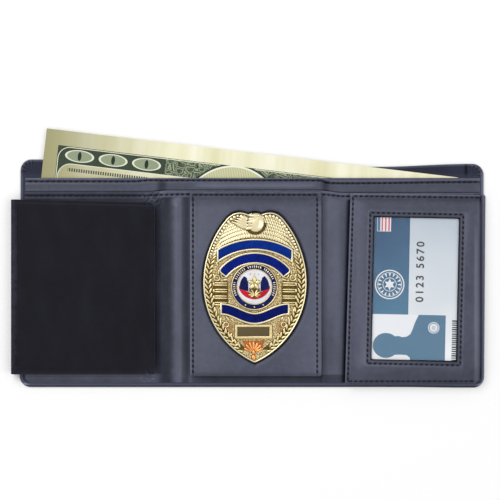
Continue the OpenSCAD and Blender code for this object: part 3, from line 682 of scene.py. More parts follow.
def sheet_outline(inset):
    """Outline of the cover, or of a layer inset from it."""
    spread_mm = SIDE_SPREAD if inset == 0 else dict.fromkeys(SIDE_SPREAD, SIDE_SPREAD["top left"])
    left_low = left_edge + inset - spread_mm["low left"]
    left_top = left_edge + inset - spread_mm["top left"]
    right_low = right_edge - inset + spread_mm["low right"]
    right_top = right_edge - inset + spread_mm["top right"]
    top, radius = top_edge - inset, CORNER_R - inset
    corner_x = right_top - STEP_W - radius
    low_run = steps(left_low + radius, right_low - radius, OUTLINE_PITCH)[1:-1]
    top_run = steps(left_top + radius, corner_x, OUTLINE_PITCH)[1:-1]
    points = arc((left_low + radius, low_line(left_low) + inset + radius), radius, 180, 270)
    points += [(x, low_line(x) + inset) for x in low_run]
    points += arc((right_low - radius, low_line(right_low) + inset + radius), radius, 270, 360)
    points += [(right_top, STEP_Y), (right_top - STEP_W, STEP_Y + STEP_H)]
    points += arc((corner_x, top - droop(right_top) - radius), radius, 0, 90)
    points += [(x, top - droop(x)) for x in reversed(top_run)]
    return points + arc((left_top + radius, top - radius), radius, 90, 180)


print("cover outline points:", len(sheet_outline(0)))

# %% [markdown]
# The cover's leather is turned over and glued all round, which leaves small radial pleats at the
# top corners. Its rims and pleats get painted highlights and painted shade. Pleats could be a bump in
# the material, but they catch the light at the very outline, so they are pressed into the mesh. The
# lining is a thinner sheet inside the bill compartment, darkened there by painted shade.

# %% Cover and lining
LINING_RIM = 1.1
PLEATS, PLEAT_H, PLEAT_R, PLEAT_HALF_W = 7, 0.2, 3.2, 3
CREASE_X = right_edge - 8.5
CREASE_DEPTH = 0.15
COVER_EDGE_R, LINING_EDGE_R = 0.42, 0.1


def pleat_wave(x, y):
    """Radial folds of the turned-over leather at the two top corners, from -1 to 1."""
    wave = 0
    for corner_x, corner_y in ((left_edge + CORNER_R, top_edge - CORNER_R),
                               (right_edge - STEP_W - CORNER_R,
                                top_edge - droop(right_edge) - CORNER_R)):
        dx, dy = (x - corner_x) * copysign(1, corner_x), y - corner_y
        if dx > -1 and dy > -1:
            wave += (sin(2 * PLEATS * atan2(dy, dx))
                     * hump(hypot(dx, dy) - PLEAT_R, PLEAT_HALF_W))
    return wave


def cover_shape(x, y):
    """Height of the pleats, of one crease at the right, and of a slight unevenness."""
    crease = hump(x - CREASE_X, 0.9)
    return 0.06 * ripple(x, y, 16, 3) + PLEAT_H * pleat_wave(x, y) - CREASE_DEPTH * crease


def cover_tone(x, y):
    """Painted highlights along the bottom rim, the top edge and the right side, painted shade on the
    rim's outside, in the bill compartment and in the crease, and painted light and shade on the pleats.
    """
    rim = y - low_line(x)
    low_rim = 1.1 * hump(rim - 1.55, 0.8) - 0.7 * hump(rim - 0.35, 0.8)
    right_rim = 0.45 * hump(right_edge - 0.6 - x, 1.5)
    compartment = 0.35 * soft_step((y - wall_top) / 3)
    rim_glow = 0.3 * hump(y - (top_edge - droop(x)) + 0.4, 0.8)
    crease = 0.5 * hump(x - CREASE_X, 1.2) * soft_step((y - wall_top) / 2)
    return low_rim + right_rim + rim_glow - compartment - crease + 0.35 * pleat_wave(x, y)


corner_cuts = steps(left_edge, left_edge + 8, 0.5) + steps(right_edge - 9.5, right_edge, 0.5)
for name, z_node, inset, edge_r, material, slot in (
        ("cover", "cover_left", 0, COVER_EDGE_R, navy_leather, "navy_leather"),
        ("lining", "lining_left", LINING_RIM, LINING_EDGE_R, lining_leather, "lining_cloth")):
    low, high = box_mm(z_node)
    bm = plate([sheet_outline(inset)], low.z, high.z, edge_r)
    cut(bm, 0, corner_cuts + fold_cuts())
    cut(bm, 1, steps(bottom_edge - 0.5, bottom_edge + 3, RIM_PITCH) + steps(-48, 36, FLAT_PITCH)
        + steps(38, top_edge - 8, 1.5) + steps(top_edge - 7.5, top_edge - 0.5, 0.6))
    press(bm, cover_shape, cover_tone)
    bend_halves(bm, name + "_sheet", material,
                (name + "_left", name + "_fold_left", name + "_centre"),
                (name + "_right", name + "_fold_right"))
    print(name, "pressed")

# %% [markdown]
# A thread pulls a groove, and the leather stands up in a welt beside it, so two small functions
# give the height and the painted shade and highlight of any seam by the distance from its thread.
# The painted light and shade across a fold has too many bands for one formula, so a short table
# holds their tones.

# %% Seams and folds
HEM_H, HEM_W = 0.28, 1.3
GROOVE_W, GROOVE_DEPTH = 0.75, 0.26
WELT_H, WELT_OUT, WELT_HALF_W = 0.12, 1.3, 1.1

# Painted light and shade across the two folds and the wall: how far from the fold's inner line, then
# the tone there
LEFT_FOLD_TONES = ((-15.2, -0.72), (-14.4, -0.72), (-13.8, -0.62), (-9.6, -0.6), (-7.4, 0.0),
                   (-6.6, 0.12), (-4.6, 0.1), (-3.4, -0.45), (-1.0, -0.55), (-0.4, 0.0))
RIGHT_FOLD_TONES = ((-0.4, 0.0), (0.3, -0.4), (0.9, 0.25), (1.6, -0.08), (3.0, 0.06), (5.0, 0.13),
                    (7.0, 0.17), (8.5, 0.14), (10.0, 0.02), (12.0, -0.1))
WALL_FOLD_TONES = ((-16.5, 0.0), (-14.5, -0.5), (-12.5, -0.5), (-10.5, 0.0))


def tone_at(x, table):
    """Tone between the places of a table."""
    places, tones = zip(*table)
    return float(np.interp(x, places, tones))


def seam(distance):
    """A stitched groove with a low welt on both sides, by distance from the stitches."""
    welt = hump(abs(distance) - WELT_OUT, WELT_HALF_W)
    return WELT_H * welt - GROOVE_DEPTH * hump(distance, GROOVE_W)


def seam_tone(distance):
    """Painted shade in the groove, and a painted highlight on its outer welt."""
    return 0.3 * hump(distance + 1.0, 0.6) - 0.3 * hump(distance, GROOVE_W)


def facing_line(x):
    """Top edge of the facing, a little lower on the left and right panels."""
    return (facing_top - 0.25 - 0.65 * soft_step((left_fold_out + 10 - x) / 12)
            - 1.2 * soft_step((x - right_fold_in + 1) / 12))


print("facing's top edge:", [round(facing_line(x), 1) for x in (-100, 0, 100)])

# %% [markdown]
# The inner wall closes the bill compartment on three sides and leaves its top open. One thick plate
# would fill the compartment, so three narrow strips join the wall to the lining, as the real seam
# allowance does.

# %% Inner wall
STRIP_OVERLAP, STRIP_EDGE_R = 0.01, 0.05
SEAM_W = 1.6


def wall_seam_line(x):
    """How far below the wall's top edge its stitches run: farther on the right panel."""
    return (1.15 + 0.5 * soft_step((left_fold_out - x) / 6)
            + 1.4 * soft_step((x - right_fold_in + 1) / 5)
            - 0.6 * soft_step((x - right_fold_out) / 60))


def wall_shape(x, y):
    """Height of the turned edge, its seam and a soft band below, on the part that shows."""
    down = wall_top - y
    show = soft_step((y - facing_top + 2) / 1)
    return show * (HEM_H * hump(down - 0.5, HEM_W) + seam(down - wall_seam_line(x))
                   + 0.12 * hump(down - 3.9, 1.8))


def wall_tone(x, y):
    """Painted shade along the seam, in the folds and under the facing's edge, and a painted highlight
    in the middle.
    """
    down = wall_top - y
    stitched = down - wall_seam_line(x)
    tone = seam_tone(stitched) - 0.35 * hump(stitched, 1.0)
    centre = soft_step((x - left_fold_in) / 6) * soft_step((right_fold_in - x) / 6)
    tone += (0.35 * centre - 0.08) * hump(down - 3.6, 2.0)
    tone += tone_at(x - left_fold_in, WALL_FOLD_TONES) * soft_step(stitched / 0.8)
    tone -= 0.5 * hump(x - right_fold_in - 1.8, 3.0) * soft_step((stitched + 1.2) / 0.8)
    return tone - 0.85 * hump(y - facing_line(x), 0.7)


facing_z, panel_z = box_mm("facing_left")[0].z, box_mm("facing_left")[1].z
wall_z = facing_z - (panel_z - facing_z)
wall_outline = rectangle(left_inner, right_inner, bottom_inner, wall_top,
                         (INNER_R, INNER_R, 0.4, 0.4))
bm = plate([wall_outline], wall_z, facing_z, EDGE_R)
cut(bm, 0, fold_cuts())
cut(bm, 1, steps(bottom_inner + 6, facing_top - 3, 8)
    + steps(facing_top - 2.4, wall_top - SEAM_PITCH, SEAM_PITCH))
press(bm, wall_shape, wall_tone)
bill_z = box_mm("lining_left")[1].z
strip_places = ((left_inner + INNER_R, right_inner - INNER_R, bottom_inner, bottom_inner + SEAM_W),
                (left_inner, left_inner + SEAM_W, bottom_inner + INNER_R, wall_top - 1),
                (right_inner - SEAM_W, right_inner, bottom_inner + INNER_R, wall_top - 1))
strips = [plate([rectangle(*place)], bill_z, wall_z + STRIP_OVERLAP, STRIP_EDGE_R)
          for place in strip_places]
cut(strips[0], 0, fold_cuts())
bend_halves(joined([bm, *strips]), "inner_wall_sheet", navy_leather,
            ("inner_wall_left", "inner_wall_fold_left", "inner_wall_centre"),
            ("inner_wall_right", "inner_wall_fold_right"))
print("bill compartment, mm high:", round(wall_z - bill_z, 2))

# %% [markdown]
# The pockets and panels are sewn to the facing, whose top edge lies a little lower than the wall's,
# so both show as bands. In the left fold it has a spare ridge, which lets the wallet close over a
# full load of cards. Its fine wrinkles beside the flap are the crests of a noise, kept to a small
# circle.

# %% Facing
flap_low, flap_high = box_mm("flap_cover")
RIDGE_X, RIDGE_HALF_W, RIDGE_H = left_fold_in - 6.0, 4.4, 1.3
SWELL_X, SWELL_HALF_W, SWELL_H = (right_fold_in + right_fold_out) / 2 - 2.0, 5.0, 0.55
FLAP_TOP_RUB, FLAP_LOW_RUB = (left_fold_out + 2, 36.5, 9), (left_fold_out, -49, 6)
WRINKLE_H = 0.25


def facing_seam_line(x):
    """How far below the facing's top edge its stitches run."""
    return 1.85 - 0.2 * soft_step((x - right_fold_in) / 6)


def panel_left(y):
    """Left edge of the window panel, which leans."""
    share = (y - window_low.y) / (window_high.y - window_low.y)
    return window_low.x - 2.5 + 2.6 * share


def crinkles(x, y):
    """Fine pale wrinkles where the flap's two corners rub, from 0 to 1."""
    near = max(hump(hypot(x - rub_x, y - rub_y), reach)
               for rub_x, rub_y, reach in (FLAP_TOP_RUB, FLAP_LOW_RUB))
    return near * (1 - min(1, abs(ripple(x, y * 0.7, 2.4, 41)) / 0.14))


def facing_shape(x, y):
    """Height of the turned edge, its seam, the wrinkles, and what stands up in the two folds."""
    down = facing_line(x) - y
    height = HEM_H * hump(down - 0.5, HEM_W) + seam(down - facing_seam_line(x))
    height += 0.05 * ripple(x, y, 9, 5) + WRINKLE_H * crinkles(x, y)
    held = soft_step((down - 3) / 5) * soft_step((y - bottom_inner) / 3)
    height += RIDGE_H * hump(x - RIDGE_X, RIDGE_HALF_W) * held
    height += SWELL_H * hump(x - SWELL_X, SWELL_HALF_W) * held
    return height


def left_fold_tone(x, y, below):
    """Painted light and shade over the left fold, with the flap's painted shadow beside it and painted
    shade in the strip above. It fades out in the strips above and below the flap.
    """
    strip = -0.5 * soft_step((y - 30) / 2)
    fold = tone_at(x - left_fold_in, LEFT_FOLD_TONES) * below
    beside_flap = flap_low.y < y < flap_high.y
    share = float(x > flap_high.x) if beside_flap else soft_step((x - flap_high.x) / 4)
    return strip + share * (fold - strip)


def right_fold_tone(x, y, below):
    """Painted light and shade over the right fold, darker towards the foot, and nearly black painted
    shade where it dives under the window panel.
    """
    gap = hump(x - panel_left(y) + 0.4, 1.9)
    fold = tone_at(x - right_fold_in, RIGHT_FOLD_TONES) - 0.14 * soft_step((-y - 5) / 35)
    return below * ((1 - gap) * fold - gap)


def facing_tone(x, y):
    """Painted shade beside the raised panels, along the foot and in the fold's valleys, and painted
    highlights on its ridges.
    """
    down = facing_line(x) - y
    below = soft_step((down - 2.6) / 1.2)
    folds = left_fold_tone(x, y, below) if x < 0 else right_fold_tone(x, y, below)
    # Painted shade in the strip below the badge panel
    strip = 0.5 * (1 - soft_step((y - panel_low.y - 0.2) / 0.8)) * soft_step((x - left_fold_in) / 2)
    edge = -0.25 * hump(y - bottom_inner - 0.8, 1.2) * (1 - soft_step((x - left_fold_out) / 8))
    return (seam_tone(down - facing_seam_line(x)) + folds - strip * (1 + min(0, folds)) + edge
            + 0.1 * ripple(x * 3, y, 14, 7) + 0.7 * crinkles(x, y))


facing_outline = rectangle(left_inner, right_inner, bottom_inner, facing_top,
                           (INNER_R, INNER_R, 0, 0))
facing_outline = facing_outline[:-2] + [
    (x, facing_line(x)) for x in reversed(steps(left_inner, right_inner, 3))]
bm = plate([facing_outline], facing_z, panel_z, EDGE_R)
cut(bm, 0, fold_cuts())
cut(bm, 1, steps(bottom_inner + 0.4, panel_low.y + 1.6, 0.4) + steps(-44, 30, FLAT_PITCH)
    + steps(31, facing_top - 6, 0.5) + steps(facing_top - 5.6, facing_top - SEAM_PITCH, SEAM_PITCH))
press(bm, facing_shape, facing_tone)
bend_halves(bm, "facing_sheet", navy_leather,
            ("facing_left", "facing_fold_left", "facing_centre"),
            ("facing_right", "facing_fold_right"))
print("facing pressed")

# %% [markdown]
# The flap is a board between two thin leathers, the outer one dull and black. Its top edge sags
# towards the free side. The sheets are pressed plates over the board, which keeps its CAD shape.

# %% Flap
hinge_x = flap_low.x
FLAP_SAG, FLAP_CORNER_R = 1.4, 3.0
SKIN_LAP = 0.12
FLAP_EDGE_R, FLAP_LINING_EDGE_R = 0.27, 0.25
FLAP_PITCH = 0.45


def flap_top(x):
    """Top edge of the flap, which sags towards its free side."""
    return flap_high.y - FLAP_SAG * (x - hinge_x) / (flap_high.x - hinge_x)


def flap_rim(x, y):
    """Distance from the flap's three free edges."""
    return min(flap_high.x - x, y - flap_low.y, flap_top(x) - y)


def flap_shape(x, y):
    """Height of the turned edge with the groove inside it, and of a gentle unevenness."""
    rim = flap_rim(x, y)
    turned_edge = 0.1 * hump(rim - 0.8, 0.9) - 0.08 * hump(rim - 2.3, 0.8)
    return turned_edge + 0.2 * ripple(x, y, 17, 11) + 0.07 * ripple(x, y, 5, 13)


def flap_tone(x, y):
    """Painted highlights along the top and bottom edges, and pale wrinkles at the corners."""
    edge_line = 0.3 * hump(flap_top(x) - y - 1.6, 0.5) + 0.25 * hump(y - flap_low.y - 0.4, 0.6)
    return edge_line + 0.08 * ripple(x, y * 0.4, 7, 19) + 0.6 * crinkles(x, y)


flap_outline = [(hinge_x - SKIN_LAP, flap_low.y), (flap_high.x, flap_low.y)]
flap_outline += arc((flap_high.x - FLAP_CORNER_R, flap_top(flap_high.x) - FLAP_CORNER_R),
                    FLAP_CORNER_R, 0, 90)
flap_outline += [(hinge_x - SKIN_LAP, flap_high.y)]
bm = plate([flap_outline], flap_low.z, flap_high.z, FLAP_EDGE_R)
cut(bm, 0, steps(hinge_x + 4, flap_high.x - 8, 2)
    + steps(flap_high.x - 7.5, flap_high.x - 0.4, FLAP_PITCH))
cut(bm, 1, steps(flap_low.y + 0.4, flap_low.y + 3.4, FLAP_PITCH)
    + steps(flap_low.y + 5, flap_high.y - 7, 2)
    + steps(flap_high.y - 6.5, flap_high.y - 0.4, FLAP_PITCH))
press(bm, flap_shape, flap_tone)
add_piece(bm, "flap_outer_leather", flap_leather, "flap", ["flap_cover"])

lining_low, lining_high = box_mm("flap_lining")
bm = plate([flap_outline], lining_low.z, lining_high.z, FLAP_LINING_EDGE_R)
cut_grid(bm, FLAT_PITCH)
press(bm, lambda x, y: 0.1 * (ripple(x, y, 11, 43) - 1))
add_piece(bm, "flap_inner_leather", lining_leather, "flap", ["flap_lining"])
print("flap is", round(flap_high.x - hinge_x, 1), "mm wide")

# %% [markdown]
# The flap's leather runs on round the cover's left edge as a half roll, which is the hinge. A strip
# is spun half round the hinge line. Under the flap lie three stepped pockets, each hemmed along its
# mouth.

# %% Roll and card pockets
roll_low, roll_high = box_mm("flap_roll")
roll_r = (roll_high.z - roll_low.z) / 2
ROLL_STEPS = 18
POCKET_EDGE_R = 0.2


def roll_tone(x, y):
    """A painted highlight along the top of the roll."""
    return 0.5 * hump(x - hinge_x + 1.5, 0.5) * (0.7 + 0.6 * ripple(x, y, 6, 59))


bm = bmesh.new()
spun_ends = [bm.verts.new((hinge_x, y, z)) for y, z in (
    (roll_low.y, 0), (roll_high.y, 0), (roll_high.y, 1), (roll_low.y, 1))]
profile = bm.faces.new(spun_ends)
ops.spin(bm, geom=[profile, *profile.edges, *profile.verts],
         cent=(hinge_x, 0, roll_r), axis=(0, 1, 0), angle=pi, steps=ROLL_STEPS)
ops.recalc_face_normals(bm, faces=bm.faces)
tab = plate([rectangle(hinge_x - 0.2, left_edge + 0.4, roll_low.y, roll_high.y)], 0, 1, 0.2)
press(bm, lambda x, y: 0, roll_tone)
roll = finish_piece(joined([bm, tab]), "flap_roll_leather", flap_leather,
                    ["flap_roll"])
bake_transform(roll)

for name in ("back", "middle", "front"):
    low, high = box_mm("card_pocket_" + name)
    bm = plate([rectangle(low.x, high.x, low.y, high.y, (0.5, 0.5, 0.8, 0.8))],
               low.z, high.z, POCKET_EDGE_R)
    cut(bm, 0, steps(low.x + 4, high.x - 4, FLAT_PITCH))
    cut(bm, 1, steps(low.y + 5, high.y - 5, FLAT_PITCH)
        + steps(high.y - 4, high.y - 0.4, RIM_PITCH))
    press(bm, lambda x, y: 0.35 * seam(high.y - y - STITCH_INSET),
          lambda x, y: seam_tone(STITCH_INSET - high.y + y))
    add_piece(bm, f"pocket_{name}_leather", navy_leather, "left_panel",
              ["card_pocket_" + name])
print("roll and pockets done")

# %% [markdown]
# The badge is a pointed oval with two round shoulders and a head between them. Its outline is found
# by looking outwards from the middle in every direction, to the farthest point on one of its arcs.
# Growing every radius alike gives an outline that runs beside it, for the rim and for the cut-out
# in the leather.

# %% Badge outline
shell_low, shell_high = box_mm("badge_shell")
badge_x = (shell_low.x + shell_high.x) / 2
badge_w = shell_high.x - shell_low.x
BADGE_MID_Y = -4.7
LOW_R, UP_R = 41.4, 47.0
LOBE_R, LOBE_X, LOBE_Y = 7.8, 7.06, 20.9
HEAD_R, HEAD_Y = 6.0, 22.5
SHOULDER_H = 30.8


def exit_distance(ray, centre, r):
    """How far along a ray from the badge's middle a circle is left, or 0 if it is missed."""
    along = ray[0] * centre[0] + ray[1] * centre[1]
    inside = along * along - (centre[0] ** 2 + centre[1] ** 2) + r * r
    return along + sqrt(inside) if inside > 0 else 0


def badge_reach(angle, grow):
    """Distance from the badge's middle to its outline, in one direction."""
    ray = (cos(angle), sin(angle))
    r = (LOW_R if ray[1] < 0 else UP_R) + grow
    offset = r - grow - badge_w / 2
    body = min(exit_distance(ray, (offset, 0), r), exit_distance(ray, (-offset, 0), r))
    if ray[1] > 0:
        body = min(body, SHOULDER_H / ray[1])
    circles = [((side * LOBE_X, LOBE_Y - BADGE_MID_Y), LOBE_R) for side in (-1, 1)]
    circles.append(((0, HEAD_Y - BADGE_MID_Y), HEAD_R))
    return max([body] + [exit_distance(ray, c, circle_r + grow) for c, circle_r in circles])


def badge_outline(grow, count=240):
    """Points of an outline that runs beside the badge's own."""
    points = []
    for i in range(count):
        angle = tau * (i + 0.5) / count - pi / 2
        reach = badge_reach(angle, grow)
        points.append((badge_x + reach * cos(angle), BADGE_MID_Y + reach * sin(angle)))
    return points


def badge_rim(x, y):
    """Distance outwards from the badge's outline, negative inside it."""
    dx, dy = x - badge_x, y - BADGE_MID_Y
    return hypot(dx, dy) - badge_reach(atan2(dy, dx), 0)


print("badge outline points:", len(badge_outline(0)))

# %% [markdown]
# The badge panel is leather over a board, stitched along its top and both sides. It rises a little
# between the seams and is drawn down round the badge's cut-out. The outline and the hole are two
# loops of one plate, so no hole has to be cut afterwards.

# %% Badge panel
BADGE_GAP = 0.6
PANEL_EDGE_R = 0.38
PANEL_TOP_DROP = 0.8
RIGHT_SEAM_IN = 0.8
PRESS_PITCH = 1.1
panel_top = panel_high.y - PANEL_TOP_DROP


def panel_rim(x, y):
    """Distance inwards from the badge panel's three stitched edges."""
    return min(x - panel_low.x, panel_high.x - x, panel_top - y)


def panel_seam_rim(x, y):
    """The same to the lines that the stitches follow. The right one runs farther in."""
    return min(x - panel_low.x, panel_high.x - RIGHT_SEAM_IN - x, panel_top - y)


def badge_panel_shape(x, y):
    """Height of the seams and turned edges, of the board's rise, and of the dip round the badge."""
    rim = panel_rim(x, y)
    height = seam(panel_seam_rim(x, y) - STITCH_INSET) + 0.25 * hump(rim - 0.2, 0.9)
    height += 0.4 * soft_step(rim / 9) * soft_step((y - panel_low.y) / 5)
    height -= 0.4 * hump(badge_rim(x, y) - BADGE_GAP, 1.8)
    return height + 0.14 * ripple(x, y, 24, 17)


def badge_panel_tone(x, y):
    """Painted shade round the cut-out, along the foot and under the top hem, a painted highlight
    towards the sides, and each seam's painted highlight and shade.
    """
    cut_out = -1.0 * hump(badge_rim(x, y) - BADGE_GAP, 0.8 + 0.5 * soft_step(x / 20))
    glow = 0.1 * soft_step(abs(x) / 26) + 0.1 * ripple(x, y * 0.5, 22, 29)
    low_edge = -0.35 * (1 - soft_step((y - panel_low.y) / 2.5))
    under_top = -0.35 * (1 - soft_step((panel_top - y - 2) / 6))
    stitched = seam_tone(panel_seam_rim(x, y) - STITCH_INSET)
    if panel_rim(x, y) == panel_high.x - x:
        stitched = min(0, stitched)
    return stitched + cut_out + glow + low_edge + under_top


bm = plate([rectangle(panel_low.x, panel_high.x, panel_low.y, panel_top,
                      (1.2, 1.2, 0.8, 0.8)), badge_outline(BADGE_GAP)],
           panel_low.z, panel_high.z, PANEL_EDGE_R)
edge_cuts = steps(0.35, 3.2, RIM_PITCH)
cut(bm, 0, [panel_low.x + x for x in edge_cuts]
    + steps(panel_low.x + 4, panel_high.x - 4, PRESS_PITCH) + [panel_high.x - x for x in edge_cuts])
cut(bm, 1, steps(panel_low.y + 1, panel_top - 4.5, PRESS_PITCH)
    + [panel_top - y for y in steps(0.35, 4, RIM_PITCH)])
press(bm, badge_panel_shape, badge_panel_tone)
add_piece(bm, "badge_panel_leather", navy_leather, "centre", ["badge_panel"])
print("badge panel pressed")

# %% [markdown]
# The window and its stitches were sewn about one degree askew. Turning the whole panel would move
# its outer edges too, so two functions carry a place to the leaned window and back, and the
# opening, the seams and the card's print use them.

# %% Window's lean and edges
WINDOW_W, WINDOW_H = 40.0, 67.3
WINDOW_X, WINDOW_Y = box_mm("window_pane")[0].x + 2.45 + WINDOW_W / 2, -7.55
WINDOW_LEAN = radians(-1.2)
WINDOW_STITCH_GAP, WINDOW_TOP_DROP, LOW_SEAM_OUT = 2.0, 0.7, 0.6
window_left, window_right = WINDOW_X - WINDOW_W / 2, WINDOW_X + WINDOW_W / 2
window_base, window_head = WINDOW_Y - WINDOW_H / 2, WINDOW_Y + WINDOW_H / 2


def leaned(x, y):
    """A place on the window panel after the window's lean."""
    dx, dy = x - WINDOW_X, y - WINDOW_Y
    return (WINDOW_X + dx * cos(WINDOW_LEAN) - dy * sin(WINDOW_LEAN),
            WINDOW_Y + dx * sin(WINDOW_LEAN) + dy * cos(WINDOW_LEAN))


def straightened(x, y):
    """Across and up from the window's middle, before the lean."""
    dx, dy = x - WINDOW_X, y - WINDOW_Y
    return (dx * cos(WINDOW_LEAN) + dy * sin(WINDOW_LEAN),
            dy * cos(WINDOW_LEAN) - dx * sin(WINDOW_LEAN))


def window_top(x):
    """Top edge of the window panel, which slopes down to the right."""
    share = (x - window_low.x) / (right_inner - window_low.x)
    return window_high.y - WINDOW_TOP_DROP * (0.5 + share)


def beside_window(x, y):
    """Distance outwards from the window's edge."""
    u, v = straightened(x, y)
    return max(abs(u) - WINDOW_W / 2, abs(v) - WINDOW_H / 2)


def window_rim(x, y):
    """Distance inwards from the window panel's three stitched edges. The low seam runs close by."""
    return min(x - panel_left(y), window_top(x) - y, y - window_low.y + LOW_SEAM_OUT)


print("window's low left corner:", [round(c, 2) for c in leaned(window_left, window_base)])

# %% [markdown]
# The window panel is pressed like the badge's, with a second seam round its opening, whose cut
# edges are inked black and have painted shade beside them. Its right edge rolls down to the wallet's
# side, with a painted highlight along it.

# %% Window panel
OPENING_R = 0.6
OPENING_PITCH = 0.45


def window_shape(x, y):
    """Height of both seams, of the swell between them, and of the drop at the right edge."""
    beside, rim = beside_window(x, y), window_rim(x, y)
    height = seam(beside - WINDOW_STITCH_GAP) - 0.2 * hump(beside, 1.2)
    height += seam(rim - STITCH_INSET) + 0.22 * hump(rim - 0.3, 0.9)
    height += 0.5 * soft_step(rim / 7) * soft_step((beside - 2) / 5)
    height -= 0.4 * hump(x - right_inner + 0.2, 2.2)
    return height + 0.16 * ripple(x, y, 20, 23)


def window_tone(x, y):
    """Painted shade by the opening's inked edge, along the foot, under the top hem and at the right
    side, and painted highlights near the right edge.
    """
    beside, rim = beside_window(x, y), window_rim(x, y)
    # The cut edge is inked black, and the dark spreads onto the panel as painted shade
    inked_edge_and_shade = -1.0 * hump(beside, 1.1)
    stitched = seam_tone(WINDOW_STITCH_GAP - beside) * 0.6 + seam_tone(rim - STITCH_INSET)
    glow = 0.38 * hump(x - right_inner + 2.4, 1.6) * soft_step((26 - y) / 16)
    glow += 0.14 * hump(x - 49, 5) - 0.08 * soft_step((x - WINDOW_X) / 26)
    low_side = -0.22 * (1 - soft_step((y - window_low.y - 5) / 4))
    under_top = -0.3 * hump(window_top(x) - y - 2.4, 1.8)
    right_side = -0.7 * hump(x - right_inner + 0.1, 0.8)
    return (inked_edge_and_shade + stitched + glow + low_side + under_top + right_side
            + 0.1 * ripple(x, y, 18, 37))


window_outline = [(panel_left(window_low.y), window_low.y)]
window_outline += arc((right_inner - INNER_R, window_low.y + INNER_R), INNER_R, 270, 360)
window_outline += [(right_inner, window_top(right_inner)),
                   (panel_left(window_high.y), window_top(window_low.x))]
opening = [leaned(x, y) for x, y in rectangle(window_left, window_right, window_base, window_head,
                                              (OPENING_R,) * 4)]
bm = plate([window_outline, opening], window_low.z, window_high.z, PANEL_EDGE_R)
cut(bm, 0, steps(window_low.x - 2.2, window_low.x + 4, RIM_PITCH)
    + steps(window_left - 3.6, window_left + 1, OPENING_PITCH)
    + steps(window_left + 4, window_right - 3, FLAT_PITCH)
    + steps(window_right - 0.9, window_right + 3.6, OPENING_PITCH)
    + steps(right_inner - 4.5, right_inner - 0.5, 0.5))
cut(bm, 1, steps(window_low.y + 0.4, window_low.y + 3.2, RIM_PITCH)
    + steps(window_base - 3.6, window_base + 1, OPENING_PITCH)
    + steps(window_base + 3, window_head - 3, FLAT_PITCH)
    + steps(window_head - 1, window_head + 3.6, OPENING_PITCH)
    + steps(window_head + 4.5, window_high.y - 4, 1.5)
    + steps(window_high.y - 3.6, window_high.y - 0.4, RIM_PITCH))
press(bm, window_shape, window_tone)
add_piece(bm, "window_panel_leather", navy_leather, "right_panel",
          ["window_panel"])
print("window panel pressed")

# %% [markdown]
# The pane is a thin plate of clear vinyl under the opening. Its waves are in the material, because
# so thin a sheet would cross itself if they were pressed.

# %% Pane
PANE_EDGE_R, PANE_PITCH = 0.08, 6
pane_low, pane_high = box_mm("window_pane")
bm = plate([rectangle(pane_low.x, pane_high.x, pane_low.y, pane_high.y, (1,) * 4)],
           pane_low.z, pane_high.z, PANE_EDGE_R)
cut_grid(bm, PANE_PITCH)
add_piece(bm, "clear_window", clear_vinyl, "right_panel", ["window_pane"])
print("pane in mm:", round(pane_high.x - pane_low.x, 1), "x", round(pane_high.y - pane_low.y, 1))

# %% [markdown]
# Each stitch is a short length of thread that dives into the leather at both ends, at a slight
# slant. A curve with a round profile would need far more faces, so it is a stretched ball of a few
# dozen.

# %% Stitches
STITCH_PITCH, STITCH_L, STITCH_W, STITCH_H = 2.45, 1.7, 0.85, 0.5
STITCH_SLANT = 7
STITCH_SIDES, STITCH_RINGS = 8, 5
UNEVEN = 0.2


def bead(at, size, turn, sides=STITCH_SIDES, rings=STITCH_RINGS):
    """A stretched ball. size is its length, width and height; turn is in degrees from +X."""
    bm = bmesh.new()
    place = Matrix.Translation(at) @ Matrix.Rotation(radians(turn), 4, "Z")
    shape = Matrix.Diagonal((size[0] / 2, size[1] / 2, size[2] / 2, 1))
    upright = Matrix.Rotation(pi / 2, 4, "Y")
    ops.create_uvsphere(bm, u_segments=sides, v_segments=rings, radius=1,
                        matrix=place @ shape @ upright)
    return bm


def stitch_row(start, stop, z):
    """Stitches from start to stop, at the pitch that fits best, none quite like the next."""
    start, stop = Vector(start), Vector(stop)
    run = stop - start
    count = max(1, round(run.length / STITCH_PITCH))
    heading = degrees(atan2(run.y, run.x))
    row = []
    for i in range(count):
        at = start + run * (i + 0.5) / count
        uneven = ripple(at.x, at.y, 2.1, 53)
        row.append(bead((at.x, at.y, z), (STITCH_L * (1 + UNEVEN * uneven), STITCH_W, STITCH_H),
                        heading + STITCH_SLANT * (1 + uneven)))
    return row


def sewn(name, rows, nodes, body, bend=None):
    """A piece of stitch rows. Each row is its start, its stop and its height."""
    stitches = [stitch for start, stop, z in rows for stitch in stitch_row(start, stop, z)]
    piece = finish_piece(joined(stitches), name, thread, nodes)
    if bend:
        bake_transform(piece)
    else:
        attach(piece, body)


print("stitches in 100 mm:", round(100 / STITCH_PITCH))

# %% [markdown]
# The top rows of stitches follow their layer's edge in short runs, split at the two folds, so what
# lies over a fold is a piece of its own. The others are straight. All lie in the grooves that the
# leather's height functions pressed for them.

# %% Rows of stitches
THREAD_LIFT, PANEL_THREAD_LIFT = 0.06, 0.04
ROW_RUN = 8
wall_face, facing_face = facing_z + THREAD_LIFT, panel_z + THREAD_LIFT


def top_row(x0, x1, edge, seam_line, z):
    """Stitches below a layer's top edge. edge and seam_line give its places along x."""
    places = steps(x0, x1, ROW_RUN)
    return [((a, edge(a) - seam_line(a)), (b, edge(b) - seam_line(b)), z)
            for a, b in zip(places, places[1:])]


def wall_row(x0, x1):
    """Stitches along the inner wall's top edge."""
    return top_row(x0, x1, lambda x: wall_top, wall_seam_line, wall_face)


def facing_row(x0, x1):
    """Stitches along the facing's top edge."""
    return top_row(x0, x1, facing_line, facing_seam_line, facing_face)


